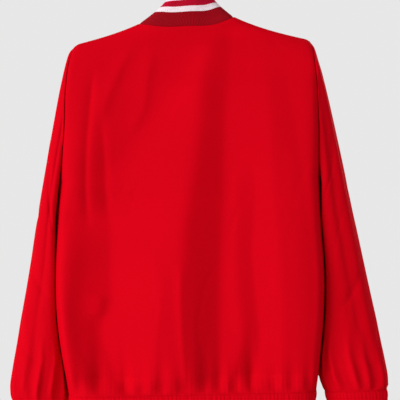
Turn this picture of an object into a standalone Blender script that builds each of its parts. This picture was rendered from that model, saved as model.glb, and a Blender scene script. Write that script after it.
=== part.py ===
"""A windbreaker on its hanger, seen as it hangs: +Z up, fronts towards -Y, back towards +Y.

The origin is the seat of the hanger's hook, where the rail goes. The wearer's left is +X.
The shell is a cloth wall: one back, two fronts and two sleeves, gathered into an elastic
waistband and two elastic cuffs, with a knitted stand collar and a closed front zip.
Neighbouring pieces share the points of their seam, and each stops short of it by half a gap.
All sizes are in metres.
"""

import math

import bpy
import numpy as np

# ---------------------------------------------------------------- cloth and seams
CLOTH = 0.0015  # shell wall, two layers of light polyester and its seams
KNIT = 0.003  # collar, a folded rib knit
CASING = 0.003  # waistband and cuffs, an elastic in a folded casing
GAP = 0.0003  # between pieces that meet at a seam

# ---------------------------------------------------------------- body, driving sizes
SHOULDER_HALF = 0.2065  # centre to shoulder point, over the hanger's end
NECK_LEFT = 0.0835  # centre to the neck point on the wearer's left
NECK_RIGHT = 0.0705
NECK_LINE = 0.077  # where the shoulder seam's straight line is measured from
NECK_POINT_Z = -0.0947
SHOULDER_POINT_Z = -0.137
SHOULDER_SAG = 0.0040  # the seam dips by this between neck and shoulder point
CORNER_RUN = 0.009  # the seam turns down over the hanger's end in this run
CORNER_DROP = 0.003
UNDERARM_Z = -0.378
HEM_Z = -0.746  # seam between the shell and the waistband
SHOULDER_EDGE_Z = SHOULDER_POINT_Z - CORNER_DROP
ROLL = 0.120  # drop over which the cloth rolls off the shoulder
SQUARENESS = 3.2  # superellipse power of the body's section

# Edge of the body to the wearer's left and right, and how far the back and the fronts
# stand out from the side seams, from the shoulder down to the waistband.
BODY = (
    # z,      left,   right,  back,  front
    (-0.060, 0.2065, 0.2065, 0.058, 0.066),
    (-0.144, 0.2065, 0.2065, 0.058, 0.067),
    (-0.165, 0.2125, 0.2095, 0.058, 0.067),
    (-0.210, 0.2190, 0.2135, 0.059, 0.068),
    (-0.280, 0.2240, 0.2160, 0.061, 0.069),
    (-0.378, 0.2355, 0.2177, 0.063, 0.070),
    (-0.460, 0.2430, 0.2195, 0.065, 0.071),
    (-0.550, 0.2477, 0.2227, 0.066, 0.072),
    (-0.620, 0.2455, 0.2195, 0.065, 0.070),
    (-0.680, 0.2385, 0.2130, 0.060, 0.061),
    (-0.720, 0.2320, 0.2082, 0.052, 0.049),
    (-0.746, 0.2285, 0.2045, 0.044, 0.040),
)
BODY_Z, BODY_LEFT, BODY_RIGHT, BODY_BACK, BODY_FRONT = np.array(BODY[::-1]).T

NECK_DEPTH = {"back": 0.034, "front": 0.0505}  # neckline's reach from the shoulder seam
ARMHOLE_DEPTH = {"back": 0.032, "front": 0.032}  # armhole's reach from the shoulder seam
ARMHOLE_FLARE = 24  # the higher, the closer to the armhole the panel turns out to meet it

# ---------------------------------------------------------------- grids of points
NECK_COLUMNS = 6  # from the centre to a neck point
HALF_COLUMNS = 20  # from the centre to a side seam
ARMHOLE_ROWS = 12  # from the shoulder point to the underarm
BODY_ROWS = 12  # from the underarm to the waistband
EDGE_CROWDING = 0.5  # how far the columns crowd towards the side seam
HEM_CROWDING = 1.35  # and the rows towards the waistband

# ---------------------------------------------------------------- folds in the body
# A fold runs from its top to its bottom point; depth is outward, so a trough is negative.
FOLD_ENDS = 14  # how soon a fold starts and ends, along its own length
SEAM_RUN = 0.030  # folds grow from nothing in this run from the shoulder and hem seams
SIDE_HOLD = 12  # the higher, the closer to the side seam a fold still shows
BACK_FOLDS = (
    # top x, top z,  bottom x, bottom z, half-width to the left, to the right, depth
    (0.174, -0.190, 0.188, -0.440, 0.010, 0.009, -0.0034),  # creases from the left armhole
    (0.157, -0.280, 0.151, -0.450, 0.013, 0.009, -0.0028),
    (0.107, -0.140, 0.158, -0.265, 0.015, 0.011, 0.0024),  # drag lines from the collar
    (0.069, -0.150, 0.107, -0.295, 0.016, 0.011, 0.0024),
    (0.028, -0.540, 0.022, -0.760, 0.009, 0.010, 0.0024),  # crest that runs into the gathers
)
FRONT_FOLDS = (
    # the same columns
    (0.110, -0.130, 0.080, -0.640, 0.022, 0.022, 0.0050),
    (0.140, -0.190, 0.125, -0.740, 0.030, 0.013, -0.0095),
    (0.055, -0.230, 0.045, -0.720, 0.018, 0.012, -0.0045),
    (0.190, -0.330, 0.180, -0.720, 0.016, 0.016, 0.0040),
    (-0.095, -0.120, -0.120, -0.520, 0.020, 0.020, 0.0045),
    (-0.125, -0.200, -0.150, -0.740, 0.013, 0.028, -0.0090),
    (-0.060, -0.330, -0.070, -0.740, 0.018, 0.018, 0.0045),
    (-0.040, -0.220, -0.038, -0.640, 0.012, 0.012, -0.0035),
    (-0.185, -0.380, -0.180, -0.720, 0.014, 0.014, -0.0040),
)

# The lines along which the hanging back turns from one flat run to the next. Each has how
# soft the turn is, and its points from the top down: x, z and the turn, as a slope. A turn
# above 0 is the bottom of a trough, one below 0 is a ridge.
BACK_TURNS = (
    # the ridge that comes off the left side seam, and the deep trough inside it
    (0.006, ((0.190, -0.395, -0.05), (0.205, -0.455, -0.10), (0.228, -0.520, -0.55),
             (0.232, -0.600, -0.76), (0.221, -0.690, -0.78), (0.204, -0.760, -0.33))),
    (0.009, ((0.157, -0.370, 0.05), (0.149, -0.450, 0.46), (0.149, -0.520, 0.62), (0.152, -0.580, 0.66),
             (0.166, -0.630, 0.76), (0.151, -0.700, 0.84), (0.129, -0.760, 0.84))),
    # the drag line from the collar to the left underarm
    (0.012, ((0.000, -0.115, 0.15), (0.012, -0.175, 0.28), (0.049, -0.230, 0.20),
             (0.092, -0.300, 0.19), (0.135, -0.370, 0.26), (0.141, -0.430, 0.09))),
    # the swell left of the middle
    (0.006, ((0.077, -0.480, -0.01), (0.067, -0.560, -0.19), (0.072, -0.640, -0.30), (0.075, -0.760, -0.40))),
    # the ridge left of the long middle trough, and its bottom
    (0.014, ((-0.046, -0.110, -0.08), (-0.032, -0.150, -0.42), (-0.016, -0.200, -0.50), (-0.009, -0.280, -0.48),
             (0.004, -0.370, -0.49), (0.021, -0.470, -0.57), (0.019, -0.600, -0.46), (0.008, -0.760, -0.55))),
    (0.010, ((-0.070, -0.110, 0.32), (-0.063, -0.165, 0.30), (-0.054, -0.240, 0.38), (-0.051, -0.330, 0.42),
             (-0.048, -0.440, 0.49), (-0.041, -0.560, 0.56), (-0.034, -0.760, 0.47))),
    # a crest and a lesser trough right of it
    (0.011, ((-0.073, -0.350, -0.04), (-0.070, -0.440, -0.25), (-0.068, -0.560, -0.36),
             (-0.074, -0.650, -0.34), (-0.050, -0.760, -0.30))),
    (0.008, ((-0.097, -0.350, 0.06), (-0.099, -0.430, 0.23), (-0.095, -0.500, 0.30), (-0.099, -0.580, 0.33),
             (-0.103, -0.650, 0.39), (-0.094, -0.760, 0.45))),
    # the flat right side, and where it turns in to its seam
    (0.011, ((-0.155, -0.150, 0.02), (-0.177, -0.350, 0.30), (-0.188, -0.550, 0.42), (-0.173, -0.760, 0.14))),
    (0.006, ((-0.199, -0.200, -0.80), (-0.208, -0.400, -0.88), (-0.211, -0.560, -0.84), (-0.200, -0.760, -0.36))),
)

# Gathers above the waistband: where each trough meets the seam, how wide it is there,
# how high it runs up the cloth, and its depth.
GATHER_PEAK = 0.20  # share of a gather's height at which it is deepest
BACK_GATHERS = (
    # x,     half-width, height, depth
    (0.208, 0.010, 0.070, -0.0045),
    (0.174, 0.013, 0.120, -0.0065),
    (0.127, 0.009, 0.080, -0.0060),
    (0.098, 0.010, 0.060, -0.0035),
    (0.066, 0.012, 0.090, -0.0070),
    (0.026, 0.011, 0.070, -0.0045),
    (-0.010, 0.012, 0.110, -0.0060),
    (-0.034, 0.010, 0.080, -0.0060),
    (-0.062, 0.009, 0.050, -0.0050),
    (-0.090, 0.009, 0.110, -0.0060),
    (-0.128, 0.011, 0.060, -0.0040),
    (-0.160, 0.011, 0.080, -0.0050),
    (-0.188, 0.008, 0.060, -0.0040),
)
FRONT_GATHERS = (
    (0.200, 0.010, 0.080, -0.0045),
    (0.170, 0.010, 0.060, -0.0050),
    (0.138, 0.011, 0.110, -0.0065),
    (0.102, 0.010, 0.070, -0.0050),
    (0.070, 0.010, 0.090, -0.0060),
    (0.036, 0.009, 0.060, -0.0045),
    (-0.034, 0.009, 0.070, -0.0050),
    (-0.066, 0.010, 0.100, -0.0060),
    (-0.100, 0.010, 0.060, -0.0050),
    (-0.132, 0.011, 0.090, -0.0065),
    (-0.164, 0.009, 0.070, -0.0050),
    (-0.190, 0.008, 0.060, -0.0040),
)

# ---------------------------------------------------------------- sleeves
# Each ring of a sleeve runs from its outer line, which is the garment's outline, to its
# inner line, which hangs just off the body's edge. The first ring is the armhole itself.
SLEEVE = (
    # outer x, outer z, off left, off right, inner z, half depth, centre y, gather depth
    (0.2065, -0.1400, 0.0000, 0.0000, -0.3780, 0.0330, 0.0010, 0.0000),
    (0.2150, -0.1510, 0.0036, 0.0036, -0.3790, 0.0400, -0.0020, 0.0000),
    (0.2225, -0.1730, 0.0036, 0.0036, -0.3900, 0.0445, -0.0060, 0.0000),
    (0.2310, -0.2070, 0.0036, 0.0036, -0.4030, 0.0490, -0.0100, 0.0000),
    (0.2410, -0.2540, 0.0036, 0.0036, -0.4190, 0.0530, -0.0145, 0.0000),
    (0.2520, -0.3080, 0.0036, 0.0036, -0.4400, 0.0560, -0.0180, 0.0000),
    (0.2625, -0.3600, 0.0036, 0.0036, -0.4640, 0.0575, -0.0205, 0.0000),
    (0.2725, -0.4100, 0.0036, 0.0036, -0.4920, 0.0580, -0.0220, 0.0000),
    (0.2820, -0.4580, 0.0036, 0.0036, -0.5220, 0.0575, -0.0230, 0.0000),
    (0.2910, -0.5050, 0.0036, 0.0036, -0.5520, 0.0560, -0.0235, 0.0000),
    (0.2995, -0.5500, 0.0036, 0.0036, -0.5830, 0.0535, -0.0235, 0.0000),
    (0.3075, -0.5920, 0.0036, 0.0036, -0.6140, 0.0505, -0.0225, 0.0000),
    (0.3155, -0.6310, 0.0036, 0.0036, -0.6450, 0.0470, -0.0210, 0.0000),
    (0.3225, -0.6670, 0.0036, 0.0036, -0.6750, 0.0430, -0.0190, 0.0012),
    (0.3280, -0.6980, 0.0036, 0.0036, -0.7020, 0.0390, -0.0165, 0.0024),
    (0.3315, -0.7230, 0.0036, 0.0055, -0.7260, 0.0340, -0.0135, 0.0034),
    (0.3315, -0.7410, 0.0040, 0.0110, -0.7430, 0.0270, -0.0110, 0.0020),
    (0.3285, -0.7500, 0.0050, 0.0150, -0.7510, 0.0215, -0.0095, 0.0000),
)
SIDE_CLEARANCE = 0.0030  # between a sleeve and the body beside it
SLEEVE_WRAP = 0.024  # the sleeve's inner side bends round the body by about half this
FRONT_WRAP = 0.034  # and at the front by up to this, where it passes behind the body's edge
LEFT_LOWER = 0.010  # the left sleeve ends lower by this
CUFF_LENGTH = 0.056
CUFF_LEAN = 0.0075  # the cuff's middle moves outwards by this
CUFF_TAPER = 0.93
CUFF_ROWS = 3

# Soft folds across a sleeve, at the elbow and above the cuff.
SLEEVE_FOLDS = (
    # along, around (turns from the outer line, back first), half-length, half-turn, depth
    (0.30, 0.16, 0.050, 0.055, -0.0040),
    (0.42, 0.30, 0.060, 0.060, -0.0050),
    (0.55, 0.20, 0.060, 0.055, -0.0045),
    (0.66, 0.34, 0.050, 0.060, -0.0040),
    (0.78, 0.14, 0.060, 0.050, -0.0045),
    (0.36, 0.80, 0.060, 0.055, -0.0050),
    (0.52, 0.70, 0.060, 0.060, -0.0050),
    (0.64, 0.84, 0.050, 0.050, -0.0045),
    (0.78, 0.72, 0.060, 0.055, -0.0045),
)

# ---------------------------------------------------------------- waistband
BAND_HEIGHT = 0.055
BAND_ROWS = 4
BAND_TAPER = 0.985
BAND_PUCKER = 0.0007  # every other column of the elastic stands out by this

# ---------------------------------------------------------------- collar
COLLAR_TOP = {  # the top edge, an egg-shaped ring that tips down to the front
    "left": 0.0420,
    "right": 0.0345,
    "back": 0.0160,
    "front": -0.0760,
    "back_z": -0.0455,
    "front_z": -0.1130,
    "tilt": 0.0022,  # its right side stands higher and its left side lower by this
}
COLLAR_HOLD = 3.4  # the higher, the further round it keeps the height it has at the back
COLLAR_ROWS = 6
COLLAR_FLARE = 1.6  # the collar turns in at its base and stands straighter above

# ---------------------------------------------------------------- zip
ZIP_HALF = 0.0060  # centre to the fronts' folded edges
CHAIN_HALF = 0.0025
CHAIN_OUT = 0.0007  # the teeth stand out from the tape by this, front and rear
TAPE_THICK = 0.0010
CHAIN_THICK = TAPE_THICK + 2 * CHAIN_OUT
BOX_LENGTH = 0.0090  # the retainer at the zip's lower end
BOX_OUT = 0.0012
CHAIN_STOP = 0.0040  # the chain ends this far below the collar's top edge

SLIDER_HALF = 0.0046
SLIDER_LENGTH = 0.0102
SLIDER_BELOW_TOP = 0.0006
PLATE = 0.0012
POST_HALF = 0.0018
POST_LENGTH = 0.0026
ARCH_HALF = 0.0011
ARCH_BAR = 0.0010
ARCH_OPENING = 0.0030
PULL_HALF = 0.0035
PULL_THICK = 0.0014  # also the side of the bar that the pull turns on
PULL_LENGTH = 0.0270
WINDOW_HALF = 0.0016
WINDOW_LENGTH = 0.0040
PIN_CLEAR = 0.0003 + PULL_THICK * (math.sqrt(2) - 1) / 2  # for the bar's corners to turn

# ---------------------------------------------------------------- hanger
ARM_THICK_HALF = 0.0065
ARM_DEEP = 0.019  # height of an arm's section
HUMP_DEEP = 0.030  # and at the middle, under the hook
ARM_END = 0.1985
ARM_EASE = 0.0011  # between the arms and the cloth that lies on them
NECK_EASE = 0.0065  # the arms pass under the collar's seam with this more room
NECK_EASE_AT = (0.090, 0.120)
HUMP_Z = -0.0840  # top of the hanger's middle
HUMP_RUN = 0.042
ARM_STATIONS = 33
ARM_SIDES = 12
HOOK_RADIUS = 0.0200  # inside of the hook
WIRE_RADIUS = 0.0018
HOOK_FROM_DEG = -50.0
HOOK_TO_DEG = 205.0
HOOK_STEPS = 18
SHANK_TOP_Z = -0.0600


def smooth(at, places, values):
    """Values at any places, on a smooth curve through a table whose places rise."""
    at = np.clip(np.asarray(at, float), places[0], places[-1])
    steps = np.diff(places)
    slopes = np.diff(values) / steps
    middle = (slopes[:-1] * steps[1:] + slopes[1:] * steps[:-1]) / (steps[:-1] + steps[1:])
    tangents = np.concatenate([slopes[:1], middle, slopes[-1:]])
    i = np.clip(np.searchsorted(places, at, side="right") - 1, 0, len(steps) - 1)
    t = (at - places[i]) / steps[i]
    start = (1 + 2 * t) * (1 - t) ** 2 * values[i] + t * (1 - t) ** 2 * steps[i] * tangents[i]
    end = t * t * (3 - 2 * t) * values[i + 1] + t * t * (t - 1) * steps[i] * tangents[i + 1]
    return start + end


def eased(t):
    """From 0 to 1, starting and ending softly."""
    t = np.clip(t, 0, 1)
    return t * t * (3 - 2 * t)


def bump(t):
    """1 at the middle of a fold, falling softly to nothing past its half-width."""
    return np.exp(-0.9 * t * t)


# ================================================================ the body's form
def shoulder_z(x):
    """Height of the shoulder seam, and of its line carried on over the neck."""
    run = (np.abs(x) - NECK_LINE) / (SHOULDER_HALF - NECK_LINE)
    line = NECK_POINT_Z + (SHOULDER_POINT_Z - NECK_POINT_Z) * run
    sag = SHOULDER_SAG * np.sin(math.pi * np.clip(run, 0, 1) ** 0.8)
    past = np.clip((np.abs(x) - SHOULDER_HALF + CORNER_RUN) / CORNER_RUN, 0, 1)
    return line - sag - CORNER_DROP * past**2


def edge_x(q, z):
    """The body's edge at a height, on the side that q is on."""
    return np.where(q > 0, smooth(z, BODY_Z, BODY_LEFT), smooth(z, BODY_Z, BODY_RIGHT))


def neck_drop(face, x):
    """How far the neckline lies below the shoulder seam's line, for its reach in plan."""
    half = np.where(x > 0, NECK_LEFT, NECK_RIGHT)
    full = BODY_BACK[-1] if face == "back" else BODY_FRONT[-1]
    inside = np.clip(1 - (x / half) ** 2, 0, 1)
    return -ROLL * np.log(1 - (NECK_DEPTH[face] / full) ** 2 * inside)


def armhole_reach(face, row):
    """How far the armhole lies from the side's plane, for a share of the way down."""
    share = np.clip(row * (SHOULDER_EDGE_Z - HEM_Z) / (SHOULDER_EDGE_Z - UNDERARM_Z), 0, 1)
    return ARMHOLE_DEPTH[face] * 2.32 * np.sqrt(share) * (1 - share) ** 0.75


def side_rise(face, row):
    """How far the whole side of a panel is carried out by the armhole, fading to the underarm."""
    share = np.clip(row * (SHOULDER_EDGE_Z - HEM_Z) / (SHOULDER_EDGE_Z - UNDERARM_Z), 0, 1)
    return ARMHOLE_DEPTH[face] * 2.6 * np.sqrt(share) * (1 - share) ** 1.5


def fold_depth(folds, x, z):
    """Sum of the folds that run over the cloth."""
    total = np.zeros(np.shape(x))
    for top_x, top_z, bottom_x, bottom_z, left, right, depth in folds:
        along = (top_z - z) / (top_z - bottom_z)
        middle = top_x + (bottom_x - top_x) * along
        ends = 1 / (1 + np.exp(-FOLD_ENDS * along)) / (1 + np.exp(-FOLD_ENDS * (1 - along)))
        half_width = np.where(x > middle, left, right)
        total = total + depth * bump((x - middle) / half_width) * ends
    return total


def turn_depth(lines, x, z):
    """Sum of the lines along which a panel turns. Its side seams stay where they are."""
    left, right = smooth(z, BODY_Z, BODY_LEFT), -smooth(z, BODY_Z, BODY_RIGHT)
    share = (x - right) / (left - right)
    total = np.zeros(np.shape(x))
    for soft, path in lines:
        line_x, line_z, turns = np.array(path)[::-1].T
        line = smooth(z, line_z, line_x)
        ends = eased((line_z[-1] + 0.02 - z) / 0.04) * eased((z - line_z[0] + 0.02) / 0.04)
        at_x, at_left, at_right = (np.sqrt((place - line) ** 2 + soft**2) for place in (x, left, right))
        bend = at_x - at_left * share - at_right * (1 - share)
        total = total + smooth(z, line_z, turns) * ends / 2 * bend
    return total


def gather_depth(gathers, x, z):
    """Sum of the gathers, which start at the seam, swell just above it and fade upwards."""
    total = np.zeros(np.shape(x))
    for seam_x, half_width, height, depth in gathers:
        share = np.clip((z - HEM_Z) / height, 0, None) / GATHER_PEAK
        total = total + depth * bump((x - seam_x) / half_width) * share * np.exp(1 - share)
    return total


def body_y(face, q, row, x, z):
    """How far the back or a front stands out at a point of its panel, towards its own side."""
    full = smooth(z, BODY_Z, BODY_BACK if face == "back" else BODY_FRONT)
    by_side = eased((np.abs(q) - 0.80) / 0.12)  # there the armhole's own seam sets the height
    drop = np.clip(shoulder_z(q * SHOULDER_HALF * (1 - by_side) + x * by_side) - z, 0, None)
    rolled = full * np.sqrt(1 - np.exp(-drop / ROLL))
    rise = side_rise(face, row)
    out = rise + (rolled - rise) * np.sqrt(np.clip(1 - np.abs(q) ** SQUARENESS, 0, 1))
    out = out + (armhole_reach(face, row) - rise) * np.abs(q) ** ARMHOLE_FLARE
    if face == "back":
        relief = fold_depth(BACK_FOLDS, x, z) + turn_depth(BACK_TURNS, x, z)
        gathers = gather_depth(BACK_GATHERS, x, z)
    else:
        relief = fold_depth(FRONT_FOLDS, x, z)
        gathers = gather_depth(FRONT_GATHERS, x, z)
    sides = 1 - np.abs(q) ** SIDE_HOLD
    seams = (1 - np.exp(-drop / SEAM_RUN)) * np.clip((z - HEM_Z) / SEAM_RUN, 0, 1)
    return out + (relief * seams + gathers) * sides


def body_point(face, q, row):
    """Points of the body's outer surface: q runs from -1 to 1 across, row from 0 to 1 down."""
    top_x = q * SHOULDER_HALF
    top_z = shoulder_z(top_x) - neck_drop(face, top_x)
    z = top_z + (HEM_Z - top_z) * row
    x = q * edge_x(q, z)
    y = body_y(face, q, row, x, z)
    return np.stack([x, y if face == "back" else -y, z], axis=-1)


def half_columns(neck_half, first_x=0.0):
    """Shares of the half width at which the columns stand, with one at the neck point."""
    neck = neck_half / SHOULDER_HALF
    first = first_x / SHOULDER_HALF
    t = np.linspace(0, 1, NECK_COLUMNS + 1)
    inner = first + (neck - first) * (t + np.sin(math.pi / 2 * t)) / 2
    t = np.linspace(0, 1, HALF_COLUMNS - NECK_COLUMNS + 1)[1:]
    outer = neck + (1 - neck) * (t + EDGE_CROWDING * np.sin(math.pi * t) / math.pi)
    return np.concatenate([inner, outer])


def body_rows():
    """Shares of the way down at which the rows stand, with one at the underarm."""
    armhole = (SHOULDER_EDGE_Z - UNDERARM_Z) / (SHOULDER_EDGE_Z - HEM_Z)
    upper = armhole * (1 - np.cos(math.pi * np.arange(ARMHOLE_ROWS + 1) / ARMHOLE_ROWS)) / 2
    t = np.arange(1, BODY_ROWS + 1) / BODY_ROWS
    lower = armhole + (1 - armhole) * (1 - (1 - t) ** HEM_CROWDING)
    return np.concatenate([upper, lower])


def panel(face, q):
    """One panel of the body, as rows of points from the neck and shoulder to the hem."""
    rows, columns = np.meshgrid(body_rows(), q, indexing="ij")
    return body_point(face, columns, rows)


def back_panel():
    left = half_columns(NECK_LEFT)
    right = half_columns(NECK_RIGHT)
    return panel("back", np.concatenate([-right[:0:-1], left]))


def front_panel(side):
    """A front, from the zip outwards. Its first column is straight, beside the zip."""
    q = half_columns(NECK_LEFT if side > 0 else NECK_RIGHT, ZIP_HALF)
    points = panel("front", side * q)
    points[:, 0, 0] = side * ZIP_HALF
    return points


# ================================================================ sleeves and cuffs
def body_side_x(side, y, z):
    """Half the body's width at a depth and height, for the sleeve to lie against."""
    row = (SHOULDER_EDGE_Z - z) / (SHOULDER_EDGE_Z - HEM_Z)
    back = y > 0
    full = np.where(back, smooth(z, BODY_Z, BODY_BACK), smooth(z, BODY_Z, BODY_FRONT))
    armhole = np.where(back, armhole_reach("back", row), armhole_reach("front", row))
    share = np.clip((np.abs(y) - armhole) / (full - armhole), 0, 1)
    edge = smooth(z, BODY_Z, BODY_LEFT if side > 0 else BODY_RIGHT)
    return edge * (1 - share**2) ** (1 / SQUARENESS)


def sleeve(side, armhole):
    """A sleeve as rings of points from the armhole to the cuff, back half first."""
    outer_x, outer_z, off_left, off_right, inner_z, half_depth, centre_y, gather = (
        column[:, None] for column in np.array(SLEEVE).T
    )
    along = np.linspace(0, 1, len(SLEEVE))[:, None]
    if side > 0:
        lower = LEFT_LOWER * eased((along - 0.6) / 0.4)
        outer_z, inner_z = outer_z - lower, inner_z - lower
    edge = smooth(inner_z, BODY_Z, BODY_LEFT if side > 0 else BODY_RIGHT)
    inner_x = edge + (off_left if side > 0 else off_right)
    turn = 2 * math.pi * np.arange(len(armhole)) / len(armhole)
    swing = np.cos(turn)[None, :]
    ripple = gather * (1 - 2 * (np.arange(len(armhole)) % 2))
    for place, round_at, half_length, half_turn, depth in SLEEVE_FOLDS:
        away = (turn[None, :] / (2 * math.pi) - round_at + 0.5) % 1 - 0.5
        ripple = ripple + depth * bump((along - place) / half_length) * bump(away / half_turn)
    x = (outer_x + inner_x) / 2 + (outer_x - inner_x) / 2 * swing + ripple * swing
    flat = np.clip((outer_x - inner_x) / 0.04, 0, 1) * np.clip((inner_z - HEM_Z) / 0.06, 0, 1)
    wrap = np.where(np.sin(turn) > 0, SLEEVE_WRAP * np.sin(turn) ** 2, FRONT_WRAP * np.abs(np.sin(turn)))
    x = x - wrap * flat * (1 - swing) / 2
    z = (outer_z + inner_z) / 2 + (outer_z - inner_z) / 2 * swing
    y = centre_y + (half_depth + ripple) * np.sin(turn)[None, :]
    first = np.arange(len(SLEEVE))[:, None]
    clearance = SIDE_CLEARANCE * np.clip(first, 0, 1)
    x = np.maximum(x, body_side_x(side, y, z) + clearance)
    rings = np.stack([side * x, y, z], axis=-1)
    rings[0] = armhole
    return rings


def cuff(side, ring):
    """A cuff as rings of points below the sleeve's last ring."""
    middle = ring.mean(axis=0)
    shares = np.linspace(0, 1, CUFF_ROWS + 1)[:, None, None]
    narrow = 1 - (1 - CUFF_TAPER) * shares
    rings = middle + (ring[None] - middle) * narrow
    rings = rings + np.array([side * CUFF_LEAN, 0, -CUFF_LENGTH]) * shares
    return rings


# ================================================================ collar and waistband
def collar(neck):
    """The stand collar: rings of points from the neckline up, open at the zip."""
    centre_y = (COLLAR_TOP["back"] + COLLAR_TOP["front"]) / 2
    half_y = (COLLAR_TOP["back"] - COLLAR_TOP["front"]) / 2
    neck_y = (neck[:, 1].max() + neck[:, 1].min()) / 2
    half_neck_y = (neck[:, 1].max() - neck[:, 1].min()) / 2
    half_neck = np.where(neck[:, 0] > 0, NECK_LEFT, NECK_RIGHT)
    turn = np.arctan2((neck[:, 1] - neck_y) / half_neck_y, neck[:, 0] / half_neck)
    reach = np.where(neck[:, 0] > 0, COLLAR_TOP["left"], COLLAR_TOP["right"])
    backward = (1 + np.sin(turn)) / 2
    top = np.stack([
        reach * np.cos(turn),
        centre_y + half_y * np.sin(turn),
        COLLAR_TOP["front_z"] - COLLAR_TOP["tilt"] * np.cos(turn)
        + (COLLAR_TOP["back_z"] - COLLAR_TOP["front_z"]) * (1 - (1 - backward) ** COLLAR_HOLD),
    ], axis=-1)
    top[[0, -1], 0] = neck[[0, -1], 0]
    shares = np.linspace(0, 1, COLLAR_ROWS + 1)[:, None]
    lean = 1 - (1 - shares) ** (1 + (COLLAR_FLARE - 1) * backward[None, :])
    rings = neck[None] + (top - neck)[None] * lean[..., None]
    rings[..., 2] = neck[None, :, 2] + (top - neck)[None, :, 2] * shares
    return rings


def waistband(hem):
    """The elastic band, as rings of points below the hem, open at the zip."""
    middle = hem.mean(axis=0)
    shares = np.linspace(0, 1, BAND_ROWS + 1)[:, None]
    rings = []
    for share in shares[:, 0]:
        ring = middle + (hem - middle) * (1 - (1 - BAND_TAPER) * share)
        ring[:, 2] = HEM_Z - BAND_HEIGHT * share
        rings.append(ring)
    rings = np.array(rings)
    outward = rings - middle
    outward[..., 2] = 0
    outward = outward / np.linalg.norm(outward, axis=-1, keepdims=True)
    pucker = BAND_PUCKER * (1 - 2 * (np.arange(len(hem)) % 2))
    pucker[[0, -1]] = 0
    held = np.ones(len(rings))
    held[[0, -1]] = 0
    rings = rings + outward * (pucker[None, :] * held[:, None])[..., None]
    rings[:, 0, 0] = hem[0, 0]
    rings[:, -1, 0] = hem[-1, 0]
    return rings


# ================================================================ walls
def face_normals(grid, closed):
    """Area-weighted normals of a grid's quads, pointing out of the garment."""
    after = np.roll(grid, -1, axis=1) if closed else grid[:, 1:]
    before = grid if closed else grid[:, :-1]
    return np.cross(after[:-1] - before[1:], after[1:] - before[:-1])


def shared_normals(pieces):
    """Normals at every point of every piece, shared where pieces meet at a seam.

    Where two pieces meet in a fold too deep to share, as under the arm, each keeps its own.
    """
    shared = {}
    for piece in pieces.values():
        grid = piece["grid"]
        rows, columns = grid.shape[:2]
        normals = face_normals(grid, piece["closed"]) * piece["out"]
        own = np.zeros_like(grid)
        for i in range(normals.shape[0]):
            for j in range(normals.shape[1]):
                for corner in ((i, j), (i + 1, j), (i, (j + 1) % columns), (i + 1, (j + 1) % columns)):
                    own[corner] += normals[i, j]
        own /= np.linalg.norm(own, axis=-1, keepdims=True)
        piece["own"] = own
        for i in range(rows):
            for j in range(columns):
                key = tuple(np.round(grid[i, j], 6))
                shared[key] = shared.get(key, 0) + own[i, j]
    for piece in pieces.values():
        own = piece.pop("own")
        both = np.array([[shared[tuple(np.round(p, 6))] for p in row] for row in piece["grid"]])
        both /= np.maximum(np.linalg.norm(both, axis=-1, keepdims=True), 1e-6)
        alike = np.sum(own * both, axis=-1, keepdims=True)
        share = np.clip((alike - 0.5) / 0.3, 0, 1)
        normals = own * (1 - share) + both * share
        beside_zip = np.isclose(np.abs(piece["grid"][..., 0]), ZIP_HALF)
        normals[beside_zip, 0] = 0
        piece["normals"] = normals / np.linalg.norm(normals, axis=-1, keepdims=True)


def drawn_back(grid, seams, closed):
    """The grid with its sewn edges half a gap short of the seam."""
    grid = grid.copy()
    edges = {
        "top": (grid[0], grid[1]),
        "bottom": (grid[-1], grid[-2]),
        "start": (grid[:, 0], grid[:, 1]),
        "end": (grid[:, -1], grid[:, -2]),
    }
    for name in seams:
        edge, inner = edges[name]
        way = inner - edge
        edge += way / np.linalg.norm(way, axis=-1, keepdims=True) * GAP / 2
    return grid


def wall_faces(outer, closed, flipped):
    """Triangles of a wall whose inner points follow its outer ones.

    Both sides are cut along the same diagonals so that they can't cross, and the two rims
    at a seam are cut alike, from the higher of the outer points.
    """
    rows, columns = outer.shape[:2]
    heights = outer.reshape(-1, 3)[:, 2]
    size = rows * columns
    last = columns if closed else columns - 1
    faces = []

    def add_rim(a, b):
        if heights[a] > heights[b]:
            faces.extend([(a, b, size + b), (a, size + b, size + a)])
        else:
            faces.extend([(a, b, size + a), (b, size + b, size + a)])

    for i in range(rows - 1):
        for j in range(last):
            k = (j + 1) % columns
            a, b = i * columns + j, i * columns + k
            c, d = b + columns, a + columns
            across = np.linalg.norm(outer[i, j] - outer[i + 1, k])
            other = np.linalg.norm(outer[i, k] - outer[i + 1, j])
            pair = [(a, c, b), (a, d, c)] if across < other else [(a, d, b), (b, d, c)]
            faces += pair
            faces += [tuple(size + corner for corner in face[::-1]) for face in pair]
    for j in range(last):
        k = (j + 1) % columns
        add_rim(j, k)
        add_rim((rows - 1) * columns + k, (rows - 1) * columns + j)
    if not closed:
        for i in range(rows - 1):
            add_rim((i + 1) * columns, i * columns)
            add_rim(i * columns + columns - 1, (i + 1) * columns + columns - 1)
    return [face[::-1] for face in faces] if flipped else faces


def make_material(name, colour, roughness, metallic=0.0):
    material = bpy.data.materials.new(name)
    material.use_nodes = True
    shader = material.node_tree.nodes["Principled BSDF"]
    shader.inputs["Base Color"].default_value = (*colour, 1.0)
    shader.inputs["Roughness"].default_value = roughness
    shader.inputs["Metallic"].default_value = metallic
    return material


def make_object(name, points, faces, material, smooth_shaded=True):
    mesh = bpy.data.meshes.new(name)
    mesh.from_pydata([tuple(map(float, p)) for p in points], [], faces)
    mesh.materials.append(material)
    if smooth_shaded:
        mesh.shade_smooth()
        mesh.set_sharp_from_angle(angle=math.radians(50))
    obj = bpy.data.objects.new(name, mesh)
    bpy.context.scene.collection.objects.link(obj)
    return obj


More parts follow.
